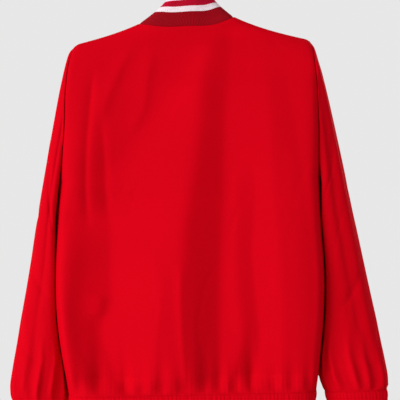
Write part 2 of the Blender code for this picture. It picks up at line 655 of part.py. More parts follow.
def make_wall(name, piece, material):
    """The piece as a closed wall, its inner side a thickness inside its outer side."""
    outer = drawn_back(piece["grid"], piece["seams"], piece["closed"])
    inner = outer - piece["normals"] * piece["thick"]
    points = np.concatenate([outer.reshape(-1, 3), inner.reshape(-1, 3)])
    faces = wall_faces(outer, piece["closed"], piece["out"] > 0)
    return make_object(name, points, faces, material)


# ================================================================ zip
def trimmed(line, start, end):
    """The part of a line of points between two lengths along it; a negative end counts
    from its far end."""
    lengths = np.concatenate([[0], np.cumsum(np.linalg.norm(np.diff(line, axis=0), axis=1))])
    end = end if end > 0 else lengths[-1] + end
    inside = (lengths > start + 0.0005) & (lengths < end - 0.0005)
    stops = np.concatenate([[start], lengths[inside], [end]])
    return np.stack([np.interp(stops, lengths, line[:, k]) for k in range(3)], axis=-1)


def strip(name, line, low_x, high_x, out, thick, material):
    """A strip of the zip between two upright planes, following the centre front."""
    along = np.gradient(line, axis=0)
    along /= np.linalg.norm(along, axis=1, keepdims=True)
    outward = np.stack([np.zeros(len(line)), -along[:, 2], along[:, 1]], axis=-1)
    front = line + outward * out
    rear = front - outward * thick
    columns = []
    for x, side in ((low_x, front), (high_x, front), (high_x, rear), (low_x, rear)):
        column = side.copy()
        column[:, 0] = x
        columns.append(column)
    points = np.stack(columns, axis=1).reshape(-1, 3)
    faces = [(3, 2, 1, 0)]
    for i in range(len(line) - 1):
        for j in range(4):
            a, b = i * 4 + j, i * 4 + (j + 1) % 4
            faces.append((a, b, b + 4, a + 4))
    end = (len(line) - 1) * 4
    faces.append((end, end + 1, end + 2, end + 3))
    return make_object(name, points, faces, material, smooth_shaded=False)


def extruded(name, place, across, up, half_width, outline, material):
    """An outline of points (out from the zip, up the zip), carried across it in X."""
    count = len(outline)
    points = []
    for x in (-half_width, half_width):
        points += [place + np.array([x, 0, 0]) + across * out + up * rise for out, rise in outline]
    faces = [tuple(range(count)), tuple(range(2 * count - 1, count - 1, -1))]
    faces += [(j, count + j, count + (j + 1) % count, (j + 1) % count) for j in range(count)]
    return make_object(name, points, faces, material, smooth_shaded=False)


def rectangle(out, rise):
    return [(out[0], rise[0]), (out[1], rise[0]), (out[1], rise[1]), (out[0], rise[1])]


def joined(base, others, operation="UNION"):
    """Base with the other shapes united with it, or cut from it."""
    for other in others:
        modifier = base.modifiers.new(operation.lower(), "BOOLEAN")
        modifier.operation = operation
        modifier.solver = "EXACT"
        modifier.object = other
        other.hide_render = True
        other.display_type = "WIRE"
    return base


def zip_pieces(line, tape_material, teeth_material, metal):
    """Tapes, chain, box, slider and pull, along the centre front from the hem up."""
    for side, name in ((-1, "right"), (1, "left")):
        inner, outer = CHAIN_HALF + GAP, ZIP_HALF - GAP / 2
        low, high = sorted((side * inner, side * outer))
        strip(f"zip_tape_{name}", line, low, high, 0, TAPE_THICK, tape_material)
    chain = trimmed(line, BOX_LENGTH + GAP, -CHAIN_STOP)
    strip("zip_chain", chain, -CHAIN_HALF, CHAIN_HALF, CHAIN_OUT, CHAIN_THICK, teeth_material)
    box = trimmed(line, 0, BOX_LENGTH)
    strip("zip_box", box, -CHAIN_HALF, CHAIN_HALF, BOX_OUT, TAPE_THICK + 2 * BOX_OUT, metal)

    up = line[-1] - line[-2]
    up /= np.linalg.norm(up)
    across = np.array([0, -up[2], up[1]])
    middle = line[-1] - up * (SLIDER_BELOW_TOP + SLIDER_LENGTH / 2)
    half = SLIDER_LENGTH / 2
    near, far = CHAIN_OUT + GAP, CHAIN_OUT + GAP + PLATE
    rear = -TAPE_THICK - CHAIN_OUT - GAP

    def shape(name, half_width, outline):
        return extruded(name, middle, across, up, half_width, outline, metal)

    pin_out = far + PIN_CLEAR + PULL_THICK / 2
    bar = pin_out + PULL_THICK / 2 + PIN_CLEAR
    foot, sunk = ARCH_OPENING / 2, far - PLATE / 2
    arch = [
        (sunk, -foot - ARCH_BAR), (bar + ARCH_BAR, -foot - ARCH_BAR),
        (bar + ARCH_BAR, foot + ARCH_BAR), (sunk, foot + ARCH_BAR),
        (sunk, foot), (bar, foot), (bar, -foot), (sunk, -foot),
    ]
    post = rectangle((rear - PLATE / 2, near + PLATE / 2), (half - POST_LENGTH, half - GAP))
    slider = shape("zip_slider", SLIDER_HALF, rectangle((near, far), (-half, half)))
    joined(slider, [
        shape("slider_rear", SLIDER_HALF, rectangle((rear - PLATE, rear), (-half, half))),
        shape("slider_post", POST_HALF, post),
        shape("slider_arch", ARCH_HALF, arch),
    ])
    pin = middle + across * pin_out
    front, upward = np.array([0, -1.0, 0]), np.array([0, 0, 1.0])
    half_bar = PULL_THICK / 2
    plate = rectangle((-half_bar, half_bar), (half_bar - PULL_LENGTH, half_bar))
    hole = rectangle((-PULL_THICK, PULL_THICK), (-half_bar - WINDOW_LENGTH, -half_bar))
    pull = extruded("zip_pull", pin * 0, front, upward, PULL_HALF, plate, metal)
    window = extruded("pull_window", pin * 0, front, upward, WINDOW_HALF, hole, metal)
    joined(pull, [window], "DIFFERENCE")
    pull.location = window.location = pin


# ================================================================ hanger
def hanger_top(x):
    """Height of the hanger's top: under the shoulder seams, with a hump under the hook."""
    slope = (SHOULDER_POINT_Z - NECK_POINT_Z) / (SHOULDER_HALF - NECK_LINE)
    under = shoulder_z(x) - (CLOTH + ARM_EASE) * math.sqrt(1 + slope**2)
    start, end = NECK_EASE_AT
    under -= NECK_EASE * (1 - np.clip((np.abs(x) - start) / (end - start), 0, 1))
    share = 1 - np.abs(x) / HUMP_RUN
    hump = eased(share)
    return under * (1 - hump) + HUMP_Z * hump, ARM_DEEP + (HUMP_DEEP - ARM_DEEP) * hump


def hanger_body(material):
    """A wide hanger of oval section, its arms lying along the shoulder seams."""
    turn = np.linspace(-0.45, 0.45, ARM_STATIONS) * math.pi
    places = ARM_END * np.sin(turn) / math.sin(turn[-1])
    points = []
    for x in places:
        top, deep = hanger_top(x)
        half = deep / 2 * math.sqrt(1 - 0.6 * (abs(x) / ARM_END) ** 12)
        for k in range(ARM_SIDES):
            angle = 2 * math.pi * k / ARM_SIDES
            y = ARM_THICK_HALF * half / (deep / 2) * math.cos(angle)
            points.append((x, y, top - deep / 2 + half * math.sin(angle)))
    faces = [tuple(range(ARM_SIDES))[::-1]]
    for i in range(len(places) - 1):
        for k in range(ARM_SIDES):
            a, b = i * ARM_SIDES + k, i * ARM_SIDES + (k + 1) % ARM_SIDES
            faces.append((a, b, b + ARM_SIDES, a + ARM_SIDES))
    last = (len(places) - 1) * ARM_SIDES
    faces.append(tuple(range(last, last + ARM_SIDES)))
    return make_object("hanger_body", points, faces, material)


def hanger_hook(material):
    """A bent wire: a shank up from the hanger, then round the rail. Its seat is the origin."""
    radius = HOOK_RADIUS + WIRE_RADIUS
    turns = np.radians(np.linspace(HOOK_FROM_DEG, HOOK_TO_DEG, HOOK_STEPS))
    arc = [(radius * math.cos(t), -HOOK_RADIUS + radius * math.sin(t)) for t in turns]
    start, end = np.array([0, SHANK_TOP_Z]), np.array(arc[0])
    lead = np.linalg.norm(end - start) * 1.2
    leaving = np.array([0, 1]) * lead
    arriving = np.array([-math.sin(turns[0]), math.cos(turns[0])]) * lead
    route = [(0.0, HUMP_Z + GAP)]
    for t in np.linspace(0, 1, 6)[:-1]:
        place = (1 + 2 * t) * (1 - t) ** 2 * start + t * (1 - t) ** 2 * leaving
        place = place + t * t * (3 - 2 * t) * end + t * t * (t - 1) * arriving
        route.append(tuple(place))
    route += arc
    curve = bpy.data.curves.new("hanger_hook", "CURVE")
    curve.dimensions = "3D"
    spline = curve.splines.new("POLY")
    spline.points.add(len(route) - 1)
    for point, (x, z) in zip(spline.points, route):
        point.co = (x, 0, z, 1)
    curve.bevel_depth = WIRE_RADIUS
    curve.bevel_resolution = 2
    curve.use_fill_caps = True
    curve.materials.append(material)
    obj = bpy.data.objects.new("hanger_hook", curve)
    bpy.context.scene.collection.objects.link(obj)
    return obj


# ================================================================ putting it together
def garment_pieces():
    """Every cloth piece: its grid of points, wall, sewn edges and which way is out."""
    back = back_panel()
    fronts = {1: front_panel(1), -1: front_panel(-1)}
    middle = (back.shape[1] - 1) // 2
    # Once round the neck and the hem, from the zip over the left side to the zip again.
    neck_row = slice(0, NECK_COLUMNS + 1)
    neck = np.concatenate([
        fronts[1][0, neck_row],
        back[0, middle + NECK_COLUMNS - 1 : middle - NECK_COLUMNS : -1],
        fronts[-1][0, neck_row][::-1],
    ])
    hem = np.concatenate([fronts[1][-1], back[-1, -2:0:-1], fronts[-1][-1][::-1]])

    def piece(grid, thick, seams, out, closed=False):
        return {"grid": grid, "thick": thick, "seams": seams, "out": out, "closed": closed}

    panel_seams = ("top", "bottom", "start", "end")
    pieces = {"back": piece(back, CLOTH, panel_seams, 1)}
    for side, name in ((1, "left"), (-1, "right")):
        pieces[f"front_{name}"] = piece(fronts[side], CLOTH, panel_seams, -side)
        back_edge = back[: ARMHOLE_ROWS + 1, -1 if side > 0 else 0]
        front_edge = fronts[side][1:ARMHOLE_ROWS, -1]
        tube = sleeve(side, np.concatenate([back_edge, front_edge[::-1]]))
        pieces[f"sleeve_{name}"] = piece(tube, CLOTH, ("top", "bottom"), -side, True)
        pieces[f"cuff_{name}"] = piece(cuff(side, tube[-1]), CASING, ("top",), -side, True)
    pieces["collar"] = piece(collar(neck), KNIT, ("top", "start", "end"), 1)
    pieces["waistband"] = piece(waistband(hem), CASING, ("top", "start", "end"), -1)
    shared_normals(pieces)
    return pieces


def main():
    for obj in list(bpy.data.objects):
        bpy.data.objects.remove(obj)
    shell = make_material("shell", (0.62, 0.004, 0.012), 0.6)
    rib = make_material("rib", (0.27, 0.006, 0.012), 0.85)
    tape = make_material("zip_tape", (0.45, 0.004, 0.010), 0.7)
    teeth = make_material("zip_teeth", (0.40, 0.004, 0.010), 0.4)
    metal = make_material("zip_metal", (0.62, 0.62, 0.64), 0.3, 1.0)
    dark = make_material("hanger", (0.03, 0.03, 0.032), 0.45)
    steel = make_material("hook", (0.72, 0.72, 0.74), 0.25, 1.0)

    pieces = garment_pieces()
    for name, made in pieces.items():
        make_wall(name, made, rib if name == "collar" else shell)
    centre_front = np.concatenate([
        pieces["waistband"]["grid"][:0:-1, 0],
        pieces["front_left"]["grid"][:0:-1, 0],
        pieces["collar"]["grid"][:, 0],
    ])
    centre_front[:, 0] = 0
    zip_pieces(centre_front, tape, teeth, metal)
    hanger_body(dark)
    hanger_hook(steel)


if __name__ == "__main__":
    main()
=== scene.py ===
"""The finished windbreaker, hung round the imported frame.

Metres throughout, in the frame's own axes: +Z up, back towards +Y, the wearer's left +X,
origin at the seat of the hanger's hook. Each section makes one piece of the jacket.
"""

import math

import bpy
import numpy as np
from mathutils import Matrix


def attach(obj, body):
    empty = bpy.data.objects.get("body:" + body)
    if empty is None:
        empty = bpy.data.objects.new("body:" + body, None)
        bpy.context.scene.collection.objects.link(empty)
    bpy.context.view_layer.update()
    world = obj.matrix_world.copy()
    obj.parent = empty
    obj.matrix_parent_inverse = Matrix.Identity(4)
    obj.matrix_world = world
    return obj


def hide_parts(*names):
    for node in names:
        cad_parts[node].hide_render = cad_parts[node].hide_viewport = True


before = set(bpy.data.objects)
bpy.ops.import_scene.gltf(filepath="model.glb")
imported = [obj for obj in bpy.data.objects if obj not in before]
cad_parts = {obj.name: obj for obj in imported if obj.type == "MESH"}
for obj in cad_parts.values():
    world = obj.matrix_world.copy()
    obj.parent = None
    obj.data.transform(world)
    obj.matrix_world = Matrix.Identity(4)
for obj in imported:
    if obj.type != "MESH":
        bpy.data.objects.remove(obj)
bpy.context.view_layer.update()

# ------------------------------------------------------------------ the studio
# The jacket is seen from behind, a little rolled, as it hangs from a rail that isn't
# shown. A broad soft light stands at its left and the pale room fills in the rest.
VIEW_CENTRE = (-0.0079, 0.0, -0.4121)
VIEW_WIDTH = 0.70  # what the picture spans, in the plane of the side seams
VIEW_DISTANCE = 2.20
VIEW_ROLL = math.radians(1.2)
SENSOR = 36.0
ROOM_TONE = 0.80
ROOM_FILL = 0.53
FLOOR_Z = -1.25
FLOOR_SIZE = 3.4

scene = bpy.context.scene
camera_data = bpy.data.cameras.new("camera")
camera_data.sensor_width = SENSOR
camera_data.lens = SENSOR * VIEW_DISTANCE / VIEW_WIDTH
camera = bpy.data.objects.new("camera", camera_data)
camera.location = (VIEW_CENTRE[0], VIEW_DISTANCE, VIEW_CENTRE[2])
camera.rotation_euler = (math.radians(90), VIEW_ROLL, math.radians(180))
scene.collection.objects.link(camera)
scene.camera = camera
scene.view_settings.view_transform = "Standard"

world = bpy.data.worlds.new("pale room")
world.use_nodes = True
nodes, links = world.node_tree.nodes, world.node_tree.links
seen = nodes.new("ShaderNodeBackground")
seen.inputs["Color"].default_value = (ROOM_TONE, ROOM_TONE, ROOM_TONE, 1)
fill = nodes["Background"]
fill.inputs["Color"].default_value = (1.0, 0.99, 0.98, 1)
fill.inputs["Strength"].default_value = ROOM_FILL
ray = nodes.new("ShaderNodeLightPath")
either = nodes.new("ShaderNodeMixShader")
links.new(ray.outputs["Is Camera Ray"], either.inputs["Fac"])
links.new(fill.outputs["Background"], either.inputs[1])
links.new(seen.outputs["Background"], either.inputs[2])
links.new(either.outputs["Shader"], nodes["World Output"].inputs["Surface"])
scene.world = world


def soft_light(name, place, aim, size, power):
    """A square area light that faces a point."""
    lamp = bpy.data.lights.new(name, "AREA")
    lamp.size = size
    lamp.energy = power
    lamp_object = bpy.data.objects.new(name, lamp)
    lamp_object.location = place
    away = np.array(place) - np.array(aim)
    lamp_object.rotation_euler = (
        math.atan2(math.hypot(away[0], away[1]), away[2]),
        0,
        math.atan2(away[1], away[0]) + math.pi / 2,
    )
    scene.collection.objects.link(lamp_object)


soft_light("key", (9.5, 7.2, 1.0), (0, 0, -0.40), 6.4, 1170)
soft_light("front key", (-1.8, -2.0, 0.9), (0, 0, -0.40), 1.6, 24)

floor_mesh = bpy.data.meshes.new("floor")
half_floor = FLOOR_SIZE / 2
floor_mesh.from_pydata(
    [(x * half_floor, y * half_floor, FLOOR_Z) for x, y in ((-1, -1), (1, -1), (1, 1), (-1, 1))],
    [],
    [(0, 1, 2, 3)],
)
floor = bpy.data.objects.new("floor", floor_mesh)
floor_paint = bpy.data.materials.new("pale floor")
floor_paint.use_nodes = True
floor_shader = floor_paint.node_tree.nodes["Principled BSDF"]
floor_shader.inputs["Base Color"].default_value = (0.78, 0.78, 0.77, 1)
floor_shader.inputs["Roughness"].default_value = 0.8
floor_mesh.materials.append(floor_paint)
scene.collection.objects.link(floor)

# ------------------------------------------------------------------ the back
# One panel of light polyester from the shoulder seams to the waistband. It hangs from
# the hanger in long soft folds and is gathered into the elastic at the hem.
SHOULDER_HALF = 0.2065
NECK_LEFT, NECK_RIGHT, NECK_LINE = 0.0940, 0.0745, 0.077
NECK_POINT_Z, SHOULDER_POINT_Z = -0.0941, -0.1364
SHOULDER_SAG = 0.0040
CORNER_RUN, CORNER_DROP = 0.009, 0.003
SHOULDER_EDGE_Z = SHOULDER_POINT_Z - CORNER_DROP
UNDERARM_Z, HEM_Z = -0.378, -0.746
ROLL = 0.120  # drop over which the cloth rolls off the shoulder
SQUARENESS = 12.0  # superellipse power of the body's section
BODY = (
    # z,      left,   right,  back,  front: the side seams, and how far the panels stand out
    (-0.060, 0.2065, 0.2065, 0.058, 0.066),
    (-0.144, 0.2065, 0.2065, 0.058, 0.067),
    (-0.165, 0.2125, 0.2095, 0.058, 0.067),
    (-0.210, 0.2190, 0.2135, 0.059, 0.068),
    (-0.280, 0.2240, 0.2160, 0.061, 0.069),
    (-0.378, 0.2355, 0.2177, 0.063, 0.070),
    (-0.460, 0.2430, 0.2195, 0.065, 0.071),
    (-0.550, 0.2477, 0.2227, 0.066, 0.072),
    (-0.620, 0.2455, 0.2195, 0.065, 0.070),
    (-0.680, 0.2385, 0.2130, 0.060, 0.061),
    (-0.720, 0.2320, 0.2082, 0.052, 0.049),
    (-0.746, 0.2285, 0.2045, 0.044, 0.040),
)
BODY_Z, BODY_LEFT, BODY_RIGHT, BODY_BACK, BODY_FRONT = np.array(BODY[::-1]).T
NECK_DEPTH = {"back": 0.0269, "front": 0.0505}
NECK_SQUARENESS = {"back": 2.8, "front": 2.0}
NECK_ROUND = 0.070  # inside this the back's line rounds over from one shoulder to the other
ARMHOLE_DEPTH = {"back": 0.032, "front": 0.032}
ARMHOLE_PEAK, SIDE_PEAK = 2.32, 2.60  # the curves below reach about 1 at their widest
ARMHOLE_FLARE = 24  # the higher, the nearer to the armhole the panel turns out to it
SIDE_HOLD = 40  # the higher, the nearer to the side seams the folds run
SEAM_RUN = 0.030
CLOTH = 0.0007
SEAM_SINK = 0.0009  # the panels dip to their seams
SEAM_DIP = 0.0030

# The lines along which the hanging cloth turns from one flat run to the next: how soft
# the turn is, and the points it runs through, each x, z and the turn as a slope. A turn
# above 0 is the bottom of a trough, one below 0 is a ridge.
BACK_TURNS = (
    # the ridge that comes off the left side seam, and the deep trough inside it
    (0.003, ((0.209, -0.395, 0.13), (0.224, -0.455, 0.16), (0.240, -0.520, -1.48),
             (0.234, -0.600, -1.58), (0.227, -0.690, -1.52), (0.211, -0.760, -1.54))),
    (0.007, ((0.154, -0.390, 0.08), (0.143, -0.430, 0.18), (0.147, -0.470, 0.34),
     (0.149, -0.520, 0.40),
             (0.150, -0.580, 0.42), (0.167, -0.630, 0.49), (0.148, -0.700, 0.68),
              (0.130, -0.760, 1.01))),
    (0.019, ((0.196, -0.430, 0.55), (0.194, -0.480, 0.43), (0.199, -0.540, 0.65),
     (0.208, -0.600, 0.90),
             (0.204, -0.660, 0.73), (0.182, -0.760, 0.40))),
    # the drag line from the collar to the left underarm
    (0.030, ((0.003, -0.115, 0.11), (0.005, -0.175, 0.50), (0.046, -0.230, 0.41),
     (0.102, -0.300, 0.33),
             (0.148, -0.370, 0.51), (0.144, -0.430, 0.34))),
    # the swell left of the middle
    (0.004, ((0.078, -0.480, 0.03), (0.063, -0.560, -0.21), (0.070, -0.640, -0.28),
             (0.075, -0.760, -0.66))),
    # the ridge left of the long middle trough, and its bottom
    (0.012, ((-0.047, -0.110, -0.02), (-0.032, -0.150, -0.47), (-0.016, -0.200, -0.63),
             (-0.009, -0.280, -0.54), (0.004, -0.370, -0.55), (0.021, -0.470, -0.62),
             (0.018, -0.600, -0.47), (0.003, -0.760, -0.54))),
    (0.009, ((-0.068, -0.110, 0.40), (-0.065, -0.165, 0.30), (-0.056, -0.240, 0.44),
             (-0.052, -0.330, 0.52), (-0.047, -0.440, 0.56), (-0.040, -0.560, 0.65),
             (-0.034, -0.760, 0.68))),
    # a crest and a lesser trough right of it
    (0.007, ((-0.075, -0.350, -0.04), (-0.071, -0.440, -0.24), (-0.069, -0.560, -0.38),
             (-0.075, -0.650, -0.41), (-0.037, -0.760, -0.36))),
    (0.004, ((-0.100, -0.350, 0.06), (-0.100, -0.430, 0.25), (-0.095, -0.500, 0.35),
             (-0.099, -0.580, 0.41), (-0.104, -0.650, 0.49), (-0.090, -0.760, 0.48))),
    # the flat right side, and where it turns in to its seam
    (0.006, ((-0.123, -0.150, -0.04), (-0.132, -0.280, -0.22), (-0.135, -0.390, -0.18),
             (-0.142, -0.520, -0.23), (-0.146, -0.760, -0.21))),
    (0.009, ((-0.156, -0.150, 0.03), (-0.183, -0.350, 0.42), (-0.199, -0.550, 0.84),
             (-0.184, -0.760, 0.60))),
    (0.003, ((-0.206, -0.200, -0.49), (-0.210, -0.400, -1.43), (-0.213, -0.560, -1.65),
             (-0.199, -0.760, -0.72))),
)

# Lesser folds, as the points that each runs through from its top down, its half-width
# towards the wearer's left and right, its depth (outward, so a trough is negative) and
# how crisp it is.
BACK_FOLDS = (
    # two creases that hang from the left armhole
    (((0.172, -0.190), (0.178, -0.250), (0.185, -0.320), (0.188, -0.390), (0.186, -0.450)),
     0.010, 0.006, -0.0036, 1.4),
    (((0.158, -0.270), (0.155, -0.330), (0.154, -0.390), (0.150, -0.450)),
     0.013, 0.007, -0.0028, 1.4),
    # drag lines from the collar towards the left armhole
    (((0.105, -0.140), (0.129, -0.190), (0.149, -0.236), (0.159, -0.270)),
     0.016, 0.011, 0.0026, 1.7),
    (((0.069, -0.150), (0.080, -0.206), (0.088, -0.255), (0.112, -0.300)),
     0.018, 0.011, 0.0026, 1.7),
    # a short cross fold that breaks the left trough
    (((0.169, -0.572), (0.169, -0.590), (0.173, -0.610)), 0.016, 0.014, 0.0034, 1.8),
    # a thin crest that runs down into the gathers
    (((0.028, -0.520), (0.029, -0.595), (0.027, -0.662), (0.020, -0.765)),
     0.008, 0.009, 0.0026, 1.6),
)
BACK_GATHERS = (
    # x,    half-width, height, depth: troughs that run up from the waistband
    (0.208, 0.010, 0.070, -0.0045),
    (0.174, 0.013, 0.120, -0.0065),
    (0.127, 0.009, 0.080, -0.0060),
    (0.098, 0.010, 0.060, -0.0035),
    (0.066, 0.012, 0.090, -0.0070),
    (0.026, 0.011, 0.070, -0.0045),
    (-0.010, 0.012, 0.110, -0.0060),
    (-0.034, 0.010, 0.080, -0.0060),
    (-0.062, 0.009, 0.050, -0.0050),
    (-0.090, 0.009, 0.110, -0.0060),
    (-0.128, 0.011, 0.060, -0.0040),
    (-0.160, 0.011, 0.080, -0.0050),
    (-0.188, 0.008, 0.060, -0.0040),
)
GATHER_PEAK = 0.20  # share of a gather's height at which it is deepest
SMALL_GATHERS = 62  # in one panel's width, between the large ones
SMALL_GATHER_DEPTH = 0.0011
SMALL_GATHER_HEIGHT = 0.024
GATHERED_HALF_WIDTH = 0.215
PLAIN_COLUMNS, SIDE_COLUMNS, PLAIN_SHARE = 100, 24, 0.90
ARMHOLE_ROWS, LOWER_ROWS = 76, 104
HEM_CROWDING = 1.30


def through(at, places, values):
    """Values at any places, on a smooth curve through a table whose places rise."""
    at = np.clip(np.asarray(at, float), places[0], places[-1])
    steps = np.diff(places)
    slopes = np.diff(values) / steps
    middle = (slopes[:-1] * steps[1:] + slopes[1:] * steps[:-1]) / (steps[:-1] + steps[1:])
    tangents = np.concatenate([slopes[:1], middle, slopes[-1:]])
    i = np.clip(np.searchsorted(places, at, side="right") - 1, 0, len(steps) - 1)
    t = (at - places[i]) / steps[i]
    start = (1 + 2 * t) * (1 - t) ** 2 * values[i] + t * (1 - t) ** 2 * steps[i] * tangents[i]
    end = t * t * (3 - 2 * t) * values[i + 1] + t * t * (t - 1) * steps[i] * tangents[i + 1]
    return start + end


def eased(t):
    t = np.clip(t, 0, 1)
    return t * t * (3 - 2 * t)


def shoulder_z(x):
    """Height of the shoulder seam, and of its line carried on over the neck."""
    run = (np.abs(x) - NECK_LINE) / (SHOULDER_HALF - NECK_LINE)
    line = NECK_POINT_Z + (SHOULDER_POINT_Z - NECK_POINT_Z) * run
    sag = SHOULDER_SAG * np.sin(math.pi * np.clip(run, 0, 1) ** 0.8)
    past = np.clip((np.abs(x) - SHOULDER_HALF + CORNER_RUN) / CORNER_RUN, 0, 1)
    return line - sag - CORNER_DROP * past**2


def side_x(side, z):
    return through(z, BODY_Z, BODY_LEFT if side > 0 else BODY_RIGHT)


def armhole_reach(face, row):
    share = np.clip(row * (SHOULDER_EDGE_Z - HEM_Z) / (SHOULDER_EDGE_Z - UNDERARM_Z), 0, 1)
    return ARMHOLE_DEPTH[face] * ARMHOLE_PEAK * np.sqrt(share) * (1 - share) ** 0.75


def side_rise(face, row):
    """How far the whole side of a panel is carried out by the armhole."""
    share = np.clip(row * (SHOULDER_EDGE_Z - HEM_Z) / (SHOULDER_EDGE_Z - UNDERARM_Z), 0, 1)
    return ARMHOLE_DEPTH[face] * SIDE_PEAK * np.sqrt(share) * (1 - share) ** 1.5


def turned(lines, x, z):
    """Sum of the lines along which a body panel turns. Its side seams stay in place."""
    left, right = side_x(1, z), -side_x(-1, z)
    share = (x - right) / (left - right)
    total = np.zeros(np.shape(x))
    for soft, path in lines:
        line_x, line_z, turns = np.array(path)[::-1].T
        line = through(z, line_z, line_x)
        started = eased((line_z[-1] + 0.02 - z) / 0.04) * eased((z - line_z[0] + 0.02) / 0.04)
        at_x, at_left, at_right = (
            np.sqrt((place - line) ** 2 + soft**2) for place in (x, left, right)
        )
        bend = at_x - at_left * share - at_right * (1 - share)
        total += through(z, line_z, turns) * started / 2 * bend
    return total


def folded(folds, x, z):
    """Sum of the folds that run over a piece of cloth; x is across them and z falls along."""
    total = np.zeros(np.shape(x))
    for path, left, right, depth, crisp in folds:
        places = np.array(path)[::-1]
        middle = through(z, places[:, 1], places[:, 0])
        top, bottom = places[-1, 1], places[0, 1]
        ends = np.minimum(0.35 * (top - bottom), 0.060)
        fade = eased((top + ends * 0.3 - z) / ends) * eased((z - bottom + ends * 0.3) / ends)
        across = (x - middle) / np.where(x > middle, left, right)
        total += depth * fade * np.exp(-((across**2 + 0.03) ** (crisp / 2)))
    return total


def gathered(gathers, x, z):
    """The gathers start at the seam, swell just above it and fade upwards."""
    total = np.zeros(np.shape(x))
    for seam_x, half_width, height, depth in gathers:
        share = np.clip((z - HEM_Z) / height, 0, None) / GATHER_PEAK
        swell = share * np.exp(1 - share)
        total += depth * np.exp(-0.9 * ((x - seam_x) / half_width) ** 2) * swell
    return total


def small_gathers(x, z, width, seed):
    """Uneven puckers just above the elastic, where the cloth is drawn in."""
    draw = np.random.default_rng(seed)
    total = np.zeros(np.shape(x))
    for place in np.linspace(-1, 1, SMALL_GATHERS):
        seam_x = (place + draw.uniform(-0.5, 0.5) / SMALL_GATHERS) * width
        half_width = draw.uniform(0.0018, 0.0036)
        height = SMALL_GATHER_HEIGHT * draw.uniform(0.5, 1.5)
        depth = SMALL_GATHER_DEPTH * draw.uniform(0.3, 1.4)
        share = np.clip((z - HEM_Z) / height, 0, None)
        swell = (0.25 + share * 3) * np.exp(-share * 2.2)
        total -= depth * np.exp(-(((x - seam_x) / half_width) ** 2)) * swell
    return total


def crumpled(x, z, box, count, seed, depth=0.0006):
    """Small soft creases at all angles, mostly upright, inside a box of the cloth."""
    draw = np.random.default_rng(seed)
    total = np.zeros(np.shape(x))
    (low_x, low_z), (high_x, high_z) = box
    for _ in range(count):
        x0, z0 = draw.uniform(low_x, high_x), draw.uniform(low_z, high_z)
        angle = draw.normal(0, 0.5)
        length, width = draw.uniform(0.018, 0.055), draw.uniform(0.0035, 0.0090)
        dx, dz = x - x0, z - z0
        along = dz * math.cos(angle) + dx * math.sin(angle)
        across = dx * math.cos(angle) - dz * math.sin(angle) + 4.0 * along**2
        height = depth * draw.uniform(-1.4, 1.0)
        total += height * np.exp(-((along / length) ** 2) - (across / width) ** 2)
    return total


def panel(face, q, extra):
    """A body panel's outer surface. q runs from -1 to 1 across it; extra adds its folds."""
    armhole = (SHOULDER_EDGE_Z - UNDERARM_Z) / (SHOULDER_EDGE_Z - HEM_Z)
    upper = armhole * (1 - np.cos(math.pi * np.arange(ARMHOLE_ROWS + 1) / ARMHOLE_ROWS)) / 2
    t = np.arange(1, LOWER_ROWS + 1) / LOWER_ROWS
    lower = armhole + (1 - armhole) * (1 - (1 - t) ** HEM_CROWDING)
    row, q = np.meshgrid(np.concatenate([upper, lower]), q, indexing="ij")
    top_x = q * SHOULDER_HALF
    half_neck = np.where(top_x > 0, NECK_LEFT, NECK_RIGHT)
    neck_full = BODY_BACK[-1] if face == "back" else BODY_FRONT[-1]
    inside = np.clip(1 - np.abs(top_x / half_neck) ** NECK_SQUARENESS[face], 0, 1)
    away = np.abs(top_x)
    rounded = (np.minimum(away, NECK_ROUND) ** 2 / NECK_ROUND + NECK_ROUND) / 2
    crest = shoulder_z(np.maximum(away, rounded) if face == "back" else top_x)
    top_z = crest + ROLL * np.log(1 - (NECK_DEPTH[face] / neck_full) ** 2 * inside)
    z = top_z + (HEM_Z - top_z) * row
    x = q * np.where(q > 0, side_x(1, z), side_x(-1, z))
    full = through(z, BODY_Z, BODY_BACK if face == "back" else BODY_FRONT)
    drop = np.clip(crest - z, 0, None)
    rise = side_rise(face, row)
    middle = full * np.sqrt(1 - np.exp(-drop / ROLL)) - rise
    y = rise + middle * np.sqrt(np.clip(1 - np.abs(q) ** SQUARENESS, 0, 1))
    y += (armhole_reach(face, row) - rise) * np.abs(q) ** ARMHOLE_FLARE
    sides = 1 - np.abs(q) ** SIDE_HOLD
    seams = (1 - np.exp(-drop / SEAM_RUN)) * np.clip((z - HEM_Z) / SEAM_RUN, 0, 1)
    folds, gathers = extra(x, z)
    y += (folds * seams + gathers) * sides
    from_neck = np.where(inside > 0, top_z - z, 1)
    y -= SEAM_SINK * np.exp(-((np.minimum(from_neck, z - HEM_Z) / SEAM_DIP) ** 2))
    return np.stack([x, y if face == "back" else -y, z], axis=-1)


def half_columns(first=0.0):
    """Shares of a panel's half width at which its columns stand, crowded to the side."""
    plain = np.linspace(first, PLAIN_SHARE, PLAIN_COLUMNS + 1)
    start = math.asin(PLAIN_SHARE ** (SQUARENESS / 2))
    turn = np.linspace(start, math.pi / 2, SIDE_COLUMNS + 1)[1:]
    return np.concatenate([plain, np.sin(turn) ** (2 / SQUARENESS)])


def outward(grid, out, closed=False):
    """Unit normals of a grid of points. out is 1 where rows crossed with columns point out."""
    if closed:
        across = np.roll(grid, -1, axis=1) - np.roll(grid, 1, axis=1)
    else:
        across = np.gradient(grid, axis=1)
    normals = np.cross(across, np.gradient(grid, axis=0)) * out
    return normals / np.linalg.norm(normals, axis=-1, keepdims=True)


